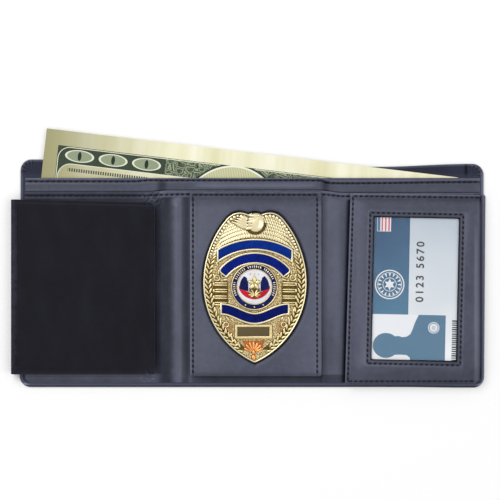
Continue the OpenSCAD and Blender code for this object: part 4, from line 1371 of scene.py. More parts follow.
sewn("stitch_rows_left", wall_row(left_inner + 1, left_fold_out)
     + facing_row(left_inner + 1, left_fold_out), ["stitches_left"], "left_panel")
sewn("stitch_rows_centre", wall_row(left_fold_in, right_fold_in), ["stitches_centre"], "centre")
sewn("stitch_rows_right", wall_row(right_fold_out, right_inner - 1), ["stitches_right"],
     "right_panel")
for label, body, fold_in, fold_out in (("left", "left_panel", left_fold_in, left_fold_out),
                                       ("right", "right_panel", right_fold_in, right_fold_out)):
    sewn("stitch_rows_fold_" + label, wall_row(fold_in, fold_out) + facing_row(fold_in, fold_out),
         ["stitches_fold_" + label], body, (fold_in, fold_out))

face = panel_high.z + PANEL_THREAD_LIFT
row_left, row_right = panel_low.x + STITCH_INSET, panel_high.x - RIGHT_SEAM_IN - STITCH_INSET
row_top = panel_top - STITCH_INSET
sewn("badge_panel_seams", [
    ((row_left, row_top), (row_right, row_top), face),
    ((row_left, panel_low.y + 1), (row_left, row_top - 1), face),
    ((row_right, panel_low.y + 1), (row_right, row_top - 1), face)],
     ["badge_panel_stitches"], "centre")

face = window_high.z + PANEL_THREAD_LIFT
frame_x, frame_y = WINDOW_W / 2 + WINDOW_STITCH_GAP, WINDOW_H / 2 + WINDOW_STITCH_GAP
corner = {(i, j): leaned(WINDOW_X + i * frame_x, WINDOW_Y + j * frame_y)
          for i in (-1, 1) for j in (-1, 1)}
low_row = window_low.y + STITCH_INSET - LOW_SEAM_OUT
high_row = window_high.y - WINDOW_TOP_DROP / 2 - STITCH_INSET
low_start, high_start = ((panel_left(y) + STITCH_INSET, y) for y in (low_row, high_row))
sewn("window_panel_seams", [
    (corner[-1, 1], corner[1, 1], face), (corner[-1, -1], corner[1, -1], face),
    (corner[-1, -1], corner[-1, 1], face), (corner[1, -1], corner[1, 1], face),
    (low_start, high_start, face),
    (high_start, (right_inner - 0.5, high_row - WINDOW_TOP_DROP), face),
    (low_start, (right_inner - INNER_R, low_row), face)],
     ["window_stitches"], "right_panel")
print("rows of stitches done")

# %% [markdown]
# The badge's body is a plate with a raised rim. Feathers, leaves, ribs and beads are small closed
# shapes that stand on it, as the die would strike them. A feather is a long ball whose tip narrows
# and whose middle is pinched into a quill. Displacing one fine grid could give the same relief, but
# with blurred edges.

# %% Badge body
badge_z = shell_low.z
badge_face = box_mm("enamel_top")[0].z
crest_top = box_mm("badge_crest")[1].z
RIM_W, RIM_R, GROUND_R = 0.75, 0.3, 0.15
GROUND_PITCH = 5
LOBE_SIDES, LOBE_RINGS = 10, 7
RING_SIDES, RING_STEPS = 8, 48
QUILL_WAIST = 0.35


def add_gilt(bm, name, gilt, nodes=()):
    """Finishes a gold piece of the badge, which moves with the centre panel."""
    add_piece(bm, name, gilt, "centre", nodes)


ground = plate([badge_outline(-GROUND_R)], badge_z, badge_face, GROUND_R)
cut_grid(ground, GROUND_PITCH)
add_gilt(ground, "badge_ground", ground_gold, ["badge_shell"])
rim = plate([badge_outline(0), badge_outline(-RIM_W)], badge_z, shell_high.z, RIM_R)
add_gilt(rim, "badge_rim", bright_gold)
print("badge body done")


def lobe(at, size, turn, taper=0.0, pinch=0.0, lean=0.0):
    """A closed bump. size is its length, width and height; turn is in degrees from +X."""
    bm = bead((0, 0, 0), (2, 2, 2), 0, LOBE_SIDES, LOBE_RINGS)
    for v in bm.verts:
        v.co.y *= 1 - taper * soft_step((v.co.x + 0.2) / 1.2) - QUILL_WAIST * pinch * v.co.x ** 2
        v.co.z *= 1 - pinch * min(1, abs(v.co.y))
        v.co.z += lean * v.co.x
    place = (Matrix.Translation((badge_x + at[0], at[1], badge_face + at[2]))
             @ Matrix.Rotation(radians(turn), 4, "Z")
             @ Matrix.Diagonal((size[0] / 2, size[1] / 2, size[2], 1)))
    ops.transform(bm, matrix=place, verts=bm.verts)
    return bm


def strand(root, tip, width, height, lift, taper=0.6, pinch=0.35):
    """A lobe from its root to its tip."""
    run = Vector(tip) - Vector(root)
    middle = (Vector(tip) + Vector(root)) / 2
    return lobe((middle.x, middle.y, lift), (run.length, width, height),
                degrees(atan2(run.y, run.x)), taper=taper, pinch=pinch)


def ring(centre, r, tube, lift, height):
    """A round wire ring, flattened to height."""
    bm = bmesh.new()
    section = ops.create_circle(
        bm, segments=RING_SIDES, radius=tube,
        matrix=Matrix.Translation((r, 0, 0)) @ Matrix.Rotation(pi / 2, 4, "X"))["verts"]
    ops.spin(bm, geom=section + bm.edges[:], cent=(0, 0, 0), axis=(0, 0, 1),
             angle=tau, steps=RING_STEPS, use_merge=True)
    ops.recalc_face_normals(bm, faces=bm.faces)
    ops.scale(bm, vec=(1, 1, height / tube), verts=bm.verts)
    ops.translate(bm, verts=bm.verts, vec=(badge_x + centre[0], centre[1], badge_face + lift))
    return bm


# %% [markdown]
# The eagle's primaries hang down to the top banner, rows of coverts overlap them like roof tiles,
# and broad scales make the wing bone along the rim. The head stands proud in the middle, turned to
# one side. Sculpting each feather would take days, so two loops lay them, and leave out any that
# would cross the rim.

# %% Eagle
BANNER_H, FRAME_W = 4.1, 0.55
TOP_BANNER_R, TOP_BANNER_Y, TOP_BANNER_HALF_W = 33.9, 15.6, 17.3
FEATHERS, FEATHER_PITCH = 17, 1.25
WING_HALF_W, WING_LEAN = 21, 50


def banner_edge(x):
    """Height of the top banner's frame at a place beside the middle line."""
    r = TOP_BANNER_R + FRAME_W
    return TOP_BANNER_Y - TOP_BANNER_R + sqrt(r * r - x * x)


# Each row: its tips above the banner, then a feather's length, width and lift
FEATHER_ROWS = ((0.3, 3.6, 1.4, 0.02), (2.3, 3.4, 1.35, 0.16), (4.3, 3.0, 1.3, 0.24),
                (5.9, 2.6, 1.3, 0.3), (7.4, 2.4, 1.25, 0.34), (8.8, 2.2, 1.25, 0.37),
                (10.1, 2.0, 1.2, 0.4), (11.3, 2.0, 1.2, 0.42))
FEATHER_H, TIP_RISE = 0.3, 0.42
eagle = []
for row, (foot, length, width, lift) in enumerate(FEATHER_ROWS):
    for i in range(FEATHERS):
        x = (i + 0.5 * (row % 2) + 0.25) * FEATHER_PITCH
        lean = radians(WING_LEAN * x / WING_HALF_W)
        y = banner_edge(min(x, TOP_BANNER_HALF_W)) + foot
        y -= 1.3 * max(0, x - TOP_BANNER_HALF_W)
        mid_x, mid_y = x - sin(lean) * length / 2, y + cos(lean) * length / 2
        if max(badge_rim(badge_x + mid_x, mid_y), badge_rim(badge_x + x, y)) > -RIM_W - width / 2:
            continue
        for side in (-1, 1):
            eagle.append(lobe((side * mid_x, mid_y, lift), (length, width, FEATHER_H),
                              -90 + side * degrees(lean), pinch=0.3, lean=TIP_RISE))

add_gilt(joined(eagle), "wing_feathers", brushed_gold)

BONE_INSET, BONE_LOW_Y = 1.5, 9.5
eagle = []
bone = badge_outline(-RIM_W - BONE_INSET + 0.6)
for start, stop in zip(bone[::2], bone[2::2]):
    if start[1] > BONE_LOW_Y and abs(start[0] - badge_x) > 4.5:
        eagle.append(strand((start[0] - badge_x, start[1]), (stop[0] - badge_x, stop[1]),
                            1.8, 0.6, 0.5, taper=0.0, pinch=0.1))

HEAD, HEAD_L, HEAD_W, HEAD_LIFT = (0.5, 23.9), 9.4, 8.8, 0.5
NECK_STRANDS = 4
head_h = crest_top - badge_face - HEAD_LIFT - 0.05
eagle.append(lobe((*HEAD, HEAD_LIFT), (HEAD_L, HEAD_W, head_h), 85))
for i in range(NECK_STRANDS):
    eagle.append(strand((-2.4 - 0.2 * i, 20.9 + 1.5 * i), (-11.8 + 1.3 * i, 24.6 + 0.75 * i),
                        2.7, 0.75, 0.95, taper=0.75, pinch=0.5))
for i in range(3):
    eagle.append(strand((2.2 - 0.7 * i, 27.3 - 1.6 * i), (-3.0 - 0.4 * i, 27.0 - 1.4 * i),
                        1.7, 0.35, 1.55, taper=0.5, pinch=0.3))
eagle.append(strand((-1.0, 21.9), (-5.0, 20.5), 2.2, 0.8, 1.1, taper=0.8))
eagle.append(lobe((-1.6, 23.0, 1.8), (0.9, 0.9, 0.25), 0))
# A plate of dark lacquered gold under the head's lower half is a painted shadow
head_shadow = [(badge_x + HEAD[0] - 0.3 + (HEAD_W / 2 + 0.9) * cos(a),
           HEAD[1] - 0.3 + (HEAD_L / 2 + 0.7) * sin(a))
          for a in (radians(turn) for turn in range(190, 361, 10))]
add_gilt(plate([head_shadow], badge_face, badge_face + 0.85, 0.1), "eagle_head_painted_shadow", dark_gold)
add_gilt(joined(eagle), "eagle_relief", bright_gold, ["badge_crest"])
print("eagle done")

# %% [markdown]
# Dark lacquer fills the ground under the leaf border and the ribs, and a rose tone that beside the
# number plate. One material for all would need a mask, so each patch is a plate that stands a hair
# above the ground.

# %% Lacquered ground
LEAF_BORDER_W, BORDER_TOP_Y, BORDER_LOW_Y = 4.1, 6.0, -36.5
RIB_X, RIB_Y, RIB_PITCH, RIBS = 16.3, -5.2, 3.1, 4
STRUCK, STRUCK_EDGE_R = 0.06, 0.03


def struck_patch(loop, rise=STRUCK):
    """A thin plate on the badge's ground."""
    return plate([loop], badge_face - 0.1, badge_face + rise, STRUCK_EDGE_R)


patches = []
for side in (-1, 1):
    outer, inner = ([p for p in badge_outline(-inset)
                     if BORDER_LOW_Y < p[1] < BORDER_TOP_Y and side * (p[0] - badge_x) > 0]
                    for inset in (RIM_W - 0.1, LEAF_BORDER_W))
    outer.sort(key=lambda p: p[1])
    inner.sort(key=lambda p: -p[1])
    patches.append(struck_patch(outer + inner))
for side in (-1, 1):
    across = sorted((badge_x + side * (RIB_X - 3.7), badge_x + side * (RIB_X + 3.7)))
    patches.append(struck_patch(
        rectangle(*across, RIB_Y - RIB_PITCH * (RIBS - 1) - 1.2, RIB_Y + 1.2)))
add_gilt(joined(patches), "lacquered_ground", dark_gold)
warm = [struck_patch(rectangle(*sorted((badge_x + side * 10.4, badge_x + side * 15.0)),
                               -29.2, -23.0, (1.5,) * 4))
        for side in (-1, 1)]
add_gilt(joined(warm), "rose_gold_ground", rose_ground)
print("lacquered ground done")

# %% [markdown]
# Laurel leaves climb in pairs along both sides, with a berry in each pair. Fluted ribs with rolled
# scrolls stand beside the seal. All of it is one loop, run once for each side.

# %% Leaves, ribs and scrolls
LEAF_PAIRS, LEAF_START, LEAF_STOP, LEAF_INSET = 23, 18.5, -57, 2.35
PALM_HALF_W = 6
SPRIG_LEAVES = ((19.2, -1.4, 60), (17.2, 0.5, 95), (13.9, -3.1, 160), (11.4, -0.4, 30),
                (17.9, 4.2, 70), (16.6, 7.4, 80), (16.2, -21.9, 110), (12.9, -21.4, 60),
                (13.9, -27.4, 115), (11.4, -29.4, 125), (10.4, -32.2, 140), (8.4, -33.9, 150),
                (15.8, -17.0, 20), (18.4, -17.6, 60))
SCROLLS = ((18.0, -2.3, 1.35), (14.6, -0.9, 1.35), (13.6, -24.4, 1.15))

relief = []
for side in (-1, 1):
    for i in range(LEAF_PAIRS):
        turn = LEAF_START + (LEAF_STOP - LEAF_START) * i / (LEAF_PAIRS - 1)
        for pair in (-1, 0, 1):
            x, y = polar((badge_w / 2 - LOW_R, BADGE_MID_Y), LOW_R - LEAF_INSET + pair * 0.9, turn)
            if badge_rim(badge_x + x, y) > -RIM_W - 0.5 or x < PALM_HALF_W:
                continue
            if pair == 0:
                relief.append(lobe((side * x, y - 1.1, 0.2), (0.75, 0.75, 0.4), 0))
            else:
                relief.append(lobe((side * x, y, 0.12), (3.1, 1.3, 0.6),
                                   90 + side * (turn - pair * 28), pinch=0.5, lean=0.2))
    for i in range(RIBS):
        for line in (-0.52, 0.52):
            relief.append(lobe((side * RIB_X, RIB_Y - RIB_PITCH * i + line, 0.05),
                               (7.2, 1.15, 0.65), 0))
        relief.append(lobe((side * (RIB_X + 3.2), RIB_Y - RIB_PITCH * i, 0.15), (1.2, 2.2, 0.6), 0))
    for x, y, r in SCROLLS:
        relief.append(ring((side * x, y), r, 0.42, 0.1, 0.55))
    for x, y, turn in SPRIG_LEAVES:
        relief.append(lobe((side * x, y, 0.05), (2.8, 1.3, 0.55), 90 - side * (90 - turn), pinch=0.4))
add_gilt(joined(relief), "leaf_and_rib_relief", satin_gold, ["badge_relief"])

# %% [markdown]
# A fan of narrow leaves in a warmer gold fills the badge's foot. Each leaf is a strand that is
# wider at its tip, turned a little farther than the one before it.

# %% Palmette
PALM, PALM_START_R = (-0.6, -37.8), 0.8
PALM_LEAVES, PALM_L, PALM_TURN = 7, 5.6, 21
fan = [(-5.9, -32.0), (-4.6, -35.4), (-0.6, -38.2), (3.4, -35.4), (4.7, -32.0)]
add_gilt(struck_patch([(badge_x + x, y) for x, y in fan], STRUCK + 0.04), "palmette_ground",
         dark_copper)
palm = []
for i in range(PALM_LEAVES):
    away = i - (PALM_LEAVES - 1) / 2
    angle = 90 + away * PALM_TURN
    palm.append(strand(polar(PALM, PALM_START_R, angle),
                       polar(PALM, PALM_L - 0.05 * away ** 2, angle),
                       1.35 - 0.1 * abs(away), 0.6 - 0.1 * abs(away), 0.05, taper=-0.4, pinch=0.35))
palm.append(lobe((PALM[0], PALM[1] + 0.3, 0.25), (2.4, 1.8, 0.5), 90))
palm.append(lobe((PALM[0], PALM[1] - 2.2, 0.1), (2.8, 2.3, 0.5), 90, pinch=0.3))
add_gilt(joined(palm), "palmette_relief", copper_gold)
print("palmette done")

# %% [markdown]
# The banners are three ribbons of blue enamel in gold frames. Frames drawn by hand would come out
# uneven, so each banner is a function that gives its outline grown by any width: by nothing for the
# enamel, and a little for the frame.

# %% Banners
MID_BANNER_R, MID_BANNER_Y, MID_BANNER_ANGLE = 21.4, 9.2, 51.5
MID_CORNER_R = 1.2
LOW_BANNER_Y, LOW_BANNER_RISE, LOW_BANNER_HALF_W = -21.5, 4.5, 15.7
BANNER_ENAMELS = {"top": top_banner_lit_enamel, "middle": blue_enamel, "bottom": bottom_banner_shaded_enamel}


def top_banner(grow):
    """Arc with upright ends."""
    half_w = TOP_BANNER_HALF_W + grow
    points = []
    for r, way in ((TOP_BANNER_R + grow, 1), (TOP_BANNER_R - BANNER_H - grow, -1)):
        for i in range(25):
            x = way * half_w * (i / 12 - 1)
            points.append((badge_x + x, TOP_BANNER_Y - TOP_BANNER_R + sqrt(r * r - x * x)))
    return points


def middle_banner(grow):
    """Steeper arc with square ends, whose outer corners are round."""
    centre = (badge_x, MID_BANNER_Y - MID_BANNER_R)
    high_r, low_r = MID_BANNER_R + grow, MID_BANNER_R - BANNER_H - grow
    corner_r = MID_CORNER_R + grow
    reach = MID_BANNER_ANGLE + degrees(grow / high_r)
    turn = reach - degrees(corner_r / (high_r - corner_r))
    right, left = (polar(centre, high_r - corner_r, a) for a in (90 - turn, 90 + turn))
    return (arc(centre, high_r, 90 + turn, 90 - turn, 24)
            + arc(right, corner_r, 90 - turn, -reach, 6)[1:]
            + arc(centre, low_r, 90 - reach, 90 + reach, 24)
            + arc(left, corner_r, 180 + reach, 90 + turn, 6)[:-1])


def low_banner(grow):
    """Dips in the middle and levels out at its ends."""
    half_w = LOW_BANNER_HALF_W + grow
    away = BANNER_H / 2 + grow
    points = []
    for way in (1, -1):
        for i in range(33):
            x = way * half_w * (i / 16 - 1)
            turn = pi * min(abs(x), LOW_BANNER_HALF_W) / LOW_BANNER_HALF_W
            y = LOW_BANNER_Y + LOW_BANNER_RISE / 2 * (1 - cos(turn))
            slope = copysign(1, x) * LOW_BANNER_RISE / 2 * sin(turn)
            slope *= pi / LOW_BANNER_HALF_W
            run = hypot(1, slope)
            points.append((badge_x + x - way * away * slope / run, y + way * away / run))
    return points


frames = []
frame_top = box_mm("banner_frames")[1].z
enamel_face = box_mm("enamel_top")[1].z
for name, outline in (("top", top_banner), ("middle", middle_banner), ("bottom", low_banner)):
    fill = plate([outline(0)], badge_face, enamel_face, 0.1)
    cut_grid(fill, FLAT_PITCH)
    add_piece(fill, f"{name}_banner_enamel", BANNER_ENAMELS[name], "centre",
              ["enamel_" + name])
    frames.append(plate([outline(FRAME_W + 0.15), outline(-0.05)], badge_face - 0.2, frame_top, 0.2))
add_gilt(joined(frames), "banner_edges", bright_gold, ["banner_frames"])
print("banners done")

# %% [markdown]
# In the seal, a ring of navy enamel goes round a white disc, with a red crescent and two navy
# fields. A picture on one disc would be flat, so each enamel is a thin plate of its own, as fired
# enamel stands in its cell.

# %% Seal
ring_low, ring_high = box_mm("seal_ring")
disc_low, disc_high = box_mm("seal_disc")
seal = Vector((ring_low.x + ring_high.x, ring_low.y + ring_high.y)) / 2
seal_r = (ring_high.x - ring_low.x) / 2
disc_r = (disc_high.x - disc_low.x) / 2
MARKS, MARK_START, MARK_PITCH, MARK_GROUP = 41, -30, 6, 8
FIELD_R, INLAY_EDGE_R = 7.0, 0.05
STAR_R, STAR_Y, STAR_INNER_SHARE = 3.8, 1.7, 0.44
field_z = disc_high.z


def on_seal(points):
    """Points that are given from the seal's middle."""
    return [(seal.x + x, seal.y + y) for x, y in points]


def inlay(points, height):
    """A thin plate of enamel on the seal's disc."""
    return plate([on_seal(points)], field_z, field_z + height, INLAY_EDGE_R)


bm = plate([circle(seal, seal_r), circle(seal, disc_r)], badge_face, ring_high.z - 0.1, 0.12)
add_piece(bm, "seal_ring_enamel", navy_enamel, "centre", ["seal_ring"])
bm = plate([circle(seal, disc_r)], badge_face, disc_high.z, 0.1)
add_piece(bm, "seal_disc_enamel", white_enamel, "centre", ["seal_disc"])

crescent = arc((0, 1.9), 7.8, 200, 340, 24) + arc((0, 6.5), 9.4, 321, 219, 18)
add_piece(inlay(crescent, 0.18), "seal_crescent_enamel", red_enamel, "centre")
wing = arc((0, 0), FIELD_R, -8, 46, 12) + [(3.7, 4.3), (2.9, 1.4), (2.9, -2.2)]
wings = [inlay([(side * x, y) for x, y in wing], 0.22) for side in (-1, 1)]
add_piece(joined(wings), "seal_wing_enamel", navy_enamel, "centre")


def star_outline(r, inner_share, count, at):
    """A star with count points."""
    reach = [r, r * inner_share] * count
    return [(at[0] + far * sin(i * pi / count), at[1] + far * cos(i * pi / count))
            for i, far in enumerate(reach)]


print("seal's middle:", round(seal.x, 2), round(seal.y, 2))

# %% [markdown]
# The star, its sprig, two wire rings and the marks in the ring are gold. The star is a flat outline
# with a ridge along each arm, which reads better than a sharp pyramid.

# %% Seal's relief
seal_at = (seal.x - badge_x, seal.y)
star_at = (seal.x - badge_x, seal.y + STAR_Y)
sprig_at = (seal.x - badge_x, seal.y - 3.9)
field_lift = field_z - badge_face
shield = arc((0, -2.6), 2.5, 180, 360, 12) + [(2.5, -0.6), (-2.5, -0.6)]
add_gilt(inlay(shield, 0.25), "seal_shield", dark_gold)
star = plate([on_seal(star_outline(STAR_R, STAR_INNER_SHARE, 5, (0, STAR_Y)))],
             field_z, box_mm("seal_star")[1].z - 0.3, 0.12)
trim = [star, ring(seal_at, seal_r, 0.32, ring_high.z - badge_face - 0.3, 0.4),
        ring(seal_at, disc_r, 0.2, ring_high.z - badge_face - 0.15, 0.25)]
trim += [lobe((seal_at[0] + x, seal_at[1] + 6.2 - 0.14 * abs(x), field_lift), (0.8, 0.8, 0.25), 0)
         for x in (-1.9, 0, 1.9)]
for turn in range(90, 450, 72):
    trim.append(strand(polar(star_at, 0.3, turn), polar(star_at, STAR_R, turn), 2.2, 0.5,
                       field_lift + 0.2, taper=0.95))
for side in (-1, 1):
    for turn, reach in ((32, 3.4), (62, 3.2), (2, 3.0), (-28, 2.2)):
        trim.append(strand(sprig_at, polar(sprig_at, reach, turn if side > 0 else 180 - turn),
                           0.95, 0.35, field_lift + 0.2, taper=0.3))
add_gilt(joined(trim), "seal_star_relief", satin_gold, ["seal_star"])

mark_lift = ring_high.z - badge_face - 0.1
marks = []
reach = (seal_r + disc_r) / 2
for i in range(MARKS):
    if i % MARK_GROUP == 0:
        continue
    turn = MARK_START + MARK_PITCH * i
    marks.append(lobe((*polar(seal_at, reach, turn), mark_lift),
                      (1.25, 0.5 if i % 3 else 0.35, 0.1), turn))
for turn in (244, 270, 296):
    marks.append(lobe((*polar(seal_at, reach, turn), mark_lift), (0.6, 0.6, 0.1), 0))
add_gilt(joined(marks), "seal_marks", bright_gold)
print("seal done")

# %% [markdown]
# The number plate is a small painted plate in a gold frame. A bevelled box would do for the plate,
# but its frame needs a hole, so both come from the same outlines.

# %% Number plate
plate_low, plate_high = box_mm("number_plate")
plate_outline = rectangle(plate_low.x, plate_high.x, plate_low.y, plate_high.y)
bm = plate([plate_outline], plate_low.z, plate_high.z, 0.05)
add_piece(bm, "number_plate_paint", bronze_paint, "centre", ["number_plate"])
frame_low, frame_high = box_mm("number_frame")
bm = plate([rectangle(frame_low.x, frame_high.x, frame_low.y, frame_high.y, (0.5,) * 4),
            plate_outline], frame_low.z, frame_high.z, 0.25)
add_gilt(bm, "number_plate_frame", satin_gold, ["number_frame"])
print("number plate done")

# %% [markdown]
# A plastic card stands upright behind the window, so its print reads from the side. An image would
# need a file, so each ink is a thin plate of its own on the card: first the colour band, and a
# portrait field with a plain outline of a head and shoulders.

# %% Card and portrait
card_low, card_high = box_mm("id_card")
card_face = card_high.z
INK, INK_EDGE_R = 0.03, 0.005
BAND_W = 17.0
FIELD_W, FIELD_H = 34.8, 21.4
PRINT_SPILL = 3
CARD_R, CARD_EDGE_R, CARD_PITCH = 3.2, 0.08, 9

bm = plate([[leaned(x, y) for x, y in rectangle(card_low.x + 0.4, card_high.x - 0.4, card_low.y,
                                                 card_high.y, (CARD_R,) * 4)]],
           card_low.z, card_high.z, CARD_EDGE_R)
cut_grid(bm, CARD_PITCH)
add_piece(bm, "card_body", card_white, "card", ["id_card"])


def on_card(points):
    """Points that are given across and up from the window's lower left corner."""
    return [leaned(window_left + x, window_base + y) for x, y in points]


def inked(name, shapes, material, layer):
    """A print of several shapes. Each shape is its outline, then its holes."""
    z = card_face + layer * INK
    parts = [plate([on_card(loop) for loop in shape], z, z + INK, INK_EDGE_R)
             for shape in shapes]
    add_piece(joined(parts), name, material, "card")


inked("card_band", [[rectangle(-PRINT_SPILL, BAND_W, FIELD_H, WINDOW_H + PRINT_SPILL)]], blue_ink, 0)
inked("card_portrait_field", [[rectangle(-PRINT_SPILL, FIELD_W, -PRINT_SPILL, FIELD_H)]],
      pale_ink, 0)

# Head and shoulders from the front, lying on their side: shoulder, neck, a round head, neck again
HEAD_AT, HEAD_HALF_L, HEAD_HALF_W = (6.7, 6.6), 6.2, 5.9
head = [(HEAD_AT[0] + HEAD_HALF_L * cos(a), HEAD_AT[1] + HEAD_HALF_W * sin(a))
        for a in (radians(48 + 264 * i / 30) for i in range(31))]
portrait = ([(FIELD_W, -PRINT_SPILL), (FIELD_W, FIELD_H), (22.0, FIELD_H), (20.2, 17.5),
             (19.2, 14.4), (18.2, 12.2), (16.6, 11.0), (14.4, 10.6), (12.8, 11.2)]
            + head + [(14.0, 2.4), (16.6, 2.2), (18.2, 1.0), (19.0, -PRINT_SPILL)])
inked("card_portrait", [[portrait]], slate_ink, 1)
print("card and portrait done")

# %% [markdown]
# The print is a bar code of computed bars, a striped patch, two emblems of rings and rays, and a
# row of plain numbers. The numbers are a text object, made a mesh and only then turned to stand
# along the card.

# %% Print on the card
BAR_WIDTHS, BAR_GAPS, BARS_START, BARS_STOP = (0.5, 0.7, 0.5, 0.6), (0.38, 0.45, 0.55), -1.0, 19.5
EMBLEM, EMBLEM_R, EMBLEM_RAYS = (7.9, 35.5), 7.0, 16
SMALL_EMBLEM = (29.2, 15.4)
DIGITS, DIGITS_AT = "0123 5670", (23.9, 41.8)
DIGIT_SIZE, DIGIT_BOLD, DIGIT_SPACING = 5.1, 0.1, 1.34

bars = []
bar_y = BARS_START
while bar_y < BARS_STOP:
    i = len(bars)
    bar_h = BAR_WIDTHS[i * 7 % 4]
    bars.append([rectangle(37.9, 41.0, bar_y, bar_y + bar_h)])
    bar_y += bar_h + BAR_GAPS[i * 5 % 3]
inked("card_bar_code", bars, dark_ink, 0)

inked("card_patch", [[rectangle(1.4, 8.0, 60.6, WINDOW_H)]], pale_ink, 1)
inked("card_patch_red", [[rectangle(x, x + 0.7, 60.8, WINDOW_H)] for x in (3.5, 5.1, 6.7)],
      red_ink, 2)
inked("card_patch_blue", [[rectangle(1.6, 2.9, 60.8, WINDOW_H)]], slate_ink, 2)

rings = [[circle(EMBLEM, r), circle(EMBLEM, r - w)]
         for r, w in ((EMBLEM_R, 0.55), (EMBLEM_R - 1.2, 0.25), (3.3, 0.3))]
rays = [[[(EMBLEM[0] + r * cos(a + da), EMBLEM[1] + r * sin(a + da))
          for r, da in ((3.9, -0.03), (5.4, -0.09), (5.4, 0.09), (3.9, 0.03))]]
        for a in (tau * i / EMBLEM_RAYS for i in range(EMBLEM_RAYS))]
inked("card_emblem", rings + rays + [[star_outline(2.8, 0.5, 6, EMBLEM)]], pale_ink, 1)
inked("card_small_emblem",
      [[circle(SMALL_EMBLEM, 2.7), circle(SMALL_EMBLEM, 2.3)],
       [circle(SMALL_EMBLEM, 1.9), circle(SMALL_EMBLEM, 0.8)], [circle(SMALL_EMBLEM, 0.5)]],
      pale_ink, 2)

words = bpy.data.curves.new("digits", "FONT")
words.body = DIGITS
words.size = DIGIT_SIZE
words.offset = DIGIT_BOLD
words.space_character = DIGIT_SPACING
words.extrude = INK / 2
words.align_x = "CENTER"
bm = solid_of(words)
place = Matrix.Translation((*on_card([DIGITS_AT])[0], card_face + INK / 2))
turn = Matrix.Rotation(pi / 2 + WINDOW_LEAN, 4, "Z")
ops.transform(bm, verts=bm.verts, matrix=place @ turn)
add_piece(bm, "card_digits", dark_ink, "card")
print("card bars:", len(bars))

# %% [markdown]
# Cotton paper is printed in fine dark lines. They are worked out from masks, which are 1 where an
# ink lies: a dark border with a chain of pale ovals, a field of curled leaves, and an oval frame.
# An image would blur when seen close. The paper has its own map in millimetres, so the engraving
# follows the note when it bends.

# %% Note's engraving
NOTE_L, NOTE_H, NOTE_TILT = 196.8, 70.0, radians(-6.8)
MARGIN_LEFT, MARGIN_TOP = 6.4, 7.2
BAND_H, BORDER_W, FIELD_ROUND = 8.4, 1.3, 6.0
CHAIN_L, OVAL_HALF_L, OVAL_HALF_H = 16.0, 6.9, 2.9
CHAIN_END = 58.0
FRAME_X, FRAME_Y, FRAME_HALF_W, FRAME_HALF_H = 92.0, 43.0, 28.2, 36.0
HATCH = 0.6
CURL = 3.4

note_paper, add, _ = start_material("engraved_cotton_paper")
uv = add("UVMap", uv_map="note")
along = add("SeparateXYZ", {0: uv}, out="X")
down = add("SeparateXYZ", {0: uv}, out="Y")


def where(*masks):
    """1 where every one of the masks is 1."""
    whole = masks[0]
    for mask in masks[1:]:
        whole = add("Math", whole, mask, operation="MULTIPLY")
    return whole


def inside(value, low, high):
    """1 where a value lies between two others."""
    return where(add("Math", value, low, operation="GREATER_THAN"),
                 add("Math", value, high, operation="LESS_THAN"))


def squared(value, middle, half):
    """Square of the distance from the middle, as a share of half the width."""
    away = add("Math", add("Math", value, middle, operation="SUBTRACT"), half, operation="DIVIDE")
    return add("Math", add("Math", away, operation="ABSOLUTE"), 2.0, operation="POWER")


def in_oval(x, mid_x, half_w, y, mid_y, half_h):
    """Under 1 inside an oval, and over 1 outside it."""
    return add("Math", squared(x, mid_x, half_w), squared(y, mid_y, half_h), operation="ADD")


def lines_along(value, pitch, share):
    """1 on even lines, which fill a share of their pitch."""
    part = add("Math", add("Math", value, pitch, operation="DIVIDE"), operation="FRACT")
    return add("Math", part, share, operation="LESS_THAN")


def without(mask):
    """1 where a mask is 0."""
    return add("Math", 1.0, mask, operation="SUBTRACT")


def past_corner(left, top, r):
    """Distance from a rounded corner's centre: under r inside the rounded field."""
    x = add("Math", add("Math", left + r, along, operation="SUBTRACT"), 0.0, operation="MAXIMUM")
    y = add("Math", add("Math", top + r, down, operation="SUBTRACT"), 0.0, operation="MAXIMUM")
    return add("Math", add("Math", where(x, x), where(y, y), operation="ADD"), operation="SQRT")


printed_part = where(add("Math", along, MARGIN_LEFT, operation="GREATER_THAN"),
                     add("Math", down, MARGIN_TOP, operation="GREATER_THAN"))
field_corner = past_corner(MARGIN_LEFT + BORDER_W, MARGIN_TOP + BAND_H, FIELD_ROUND)
in_border = where(printed_part,
                  without(add("Math", field_corner, FIELD_ROUND, operation="LESS_THAN")))
corner_line = inside(past_corner(MARGIN_LEFT, MARGIN_TOP, FIELD_ROUND), 5.35, 5.7)
field_line = inside(field_corner, FIELD_ROUND, FIELD_ROUND + 0.35)
print("masks of the border done")

# %% [markdown]
# The chain of ovals repeats, so its place is counted anew in each cell. Two noises give the curled
# leaves and their veins, and slanting lines cross it all, as an engraver shades a dark field.

# %% Border's ovals and leaves
middle = MARGIN_TOP + BAND_H / 2
cell = add("Math", add("Math", along, MARGIN_LEFT + 2.6, operation="SUBTRACT"), CHAIN_L,
           operation="MODULO")
oval = in_oval(cell, CHAIN_L / 2, OVAL_HALF_L, down, middle, OVAL_HALF_H)
chain = add("Math", along, CHAIN_END, operation="LESS_THAN")
oval_line = where(chain, inside(oval, 0.74, 1.0))
oval_fill = where(chain, add("Math", oval, 0.74, operation="LESS_THAN"))
lens = where(oval_fill, add("Math", in_oval(cell, CHAIN_L / 2, 0.9, down, middle, 2.1), 1.0,
                            operation="LESS_THAN"))

curls = add("TexVoronoi", {"Vector": uv, "Scale": 1 / CURL}, feature="DISTANCE_TO_EDGE")
veins = add("TexNoise", {"Vector": uv, "Scale": 0.5, "Detail": 3, "Distortion": 2.2})
leafy = add("Math", inside(curls, 0.05, 0.13), inside(veins, 0.48, 0.507), operation="MAXIMUM")
hatch = lines_along(add("Math", along, down, operation="ADD"), HATCH, 0.4)

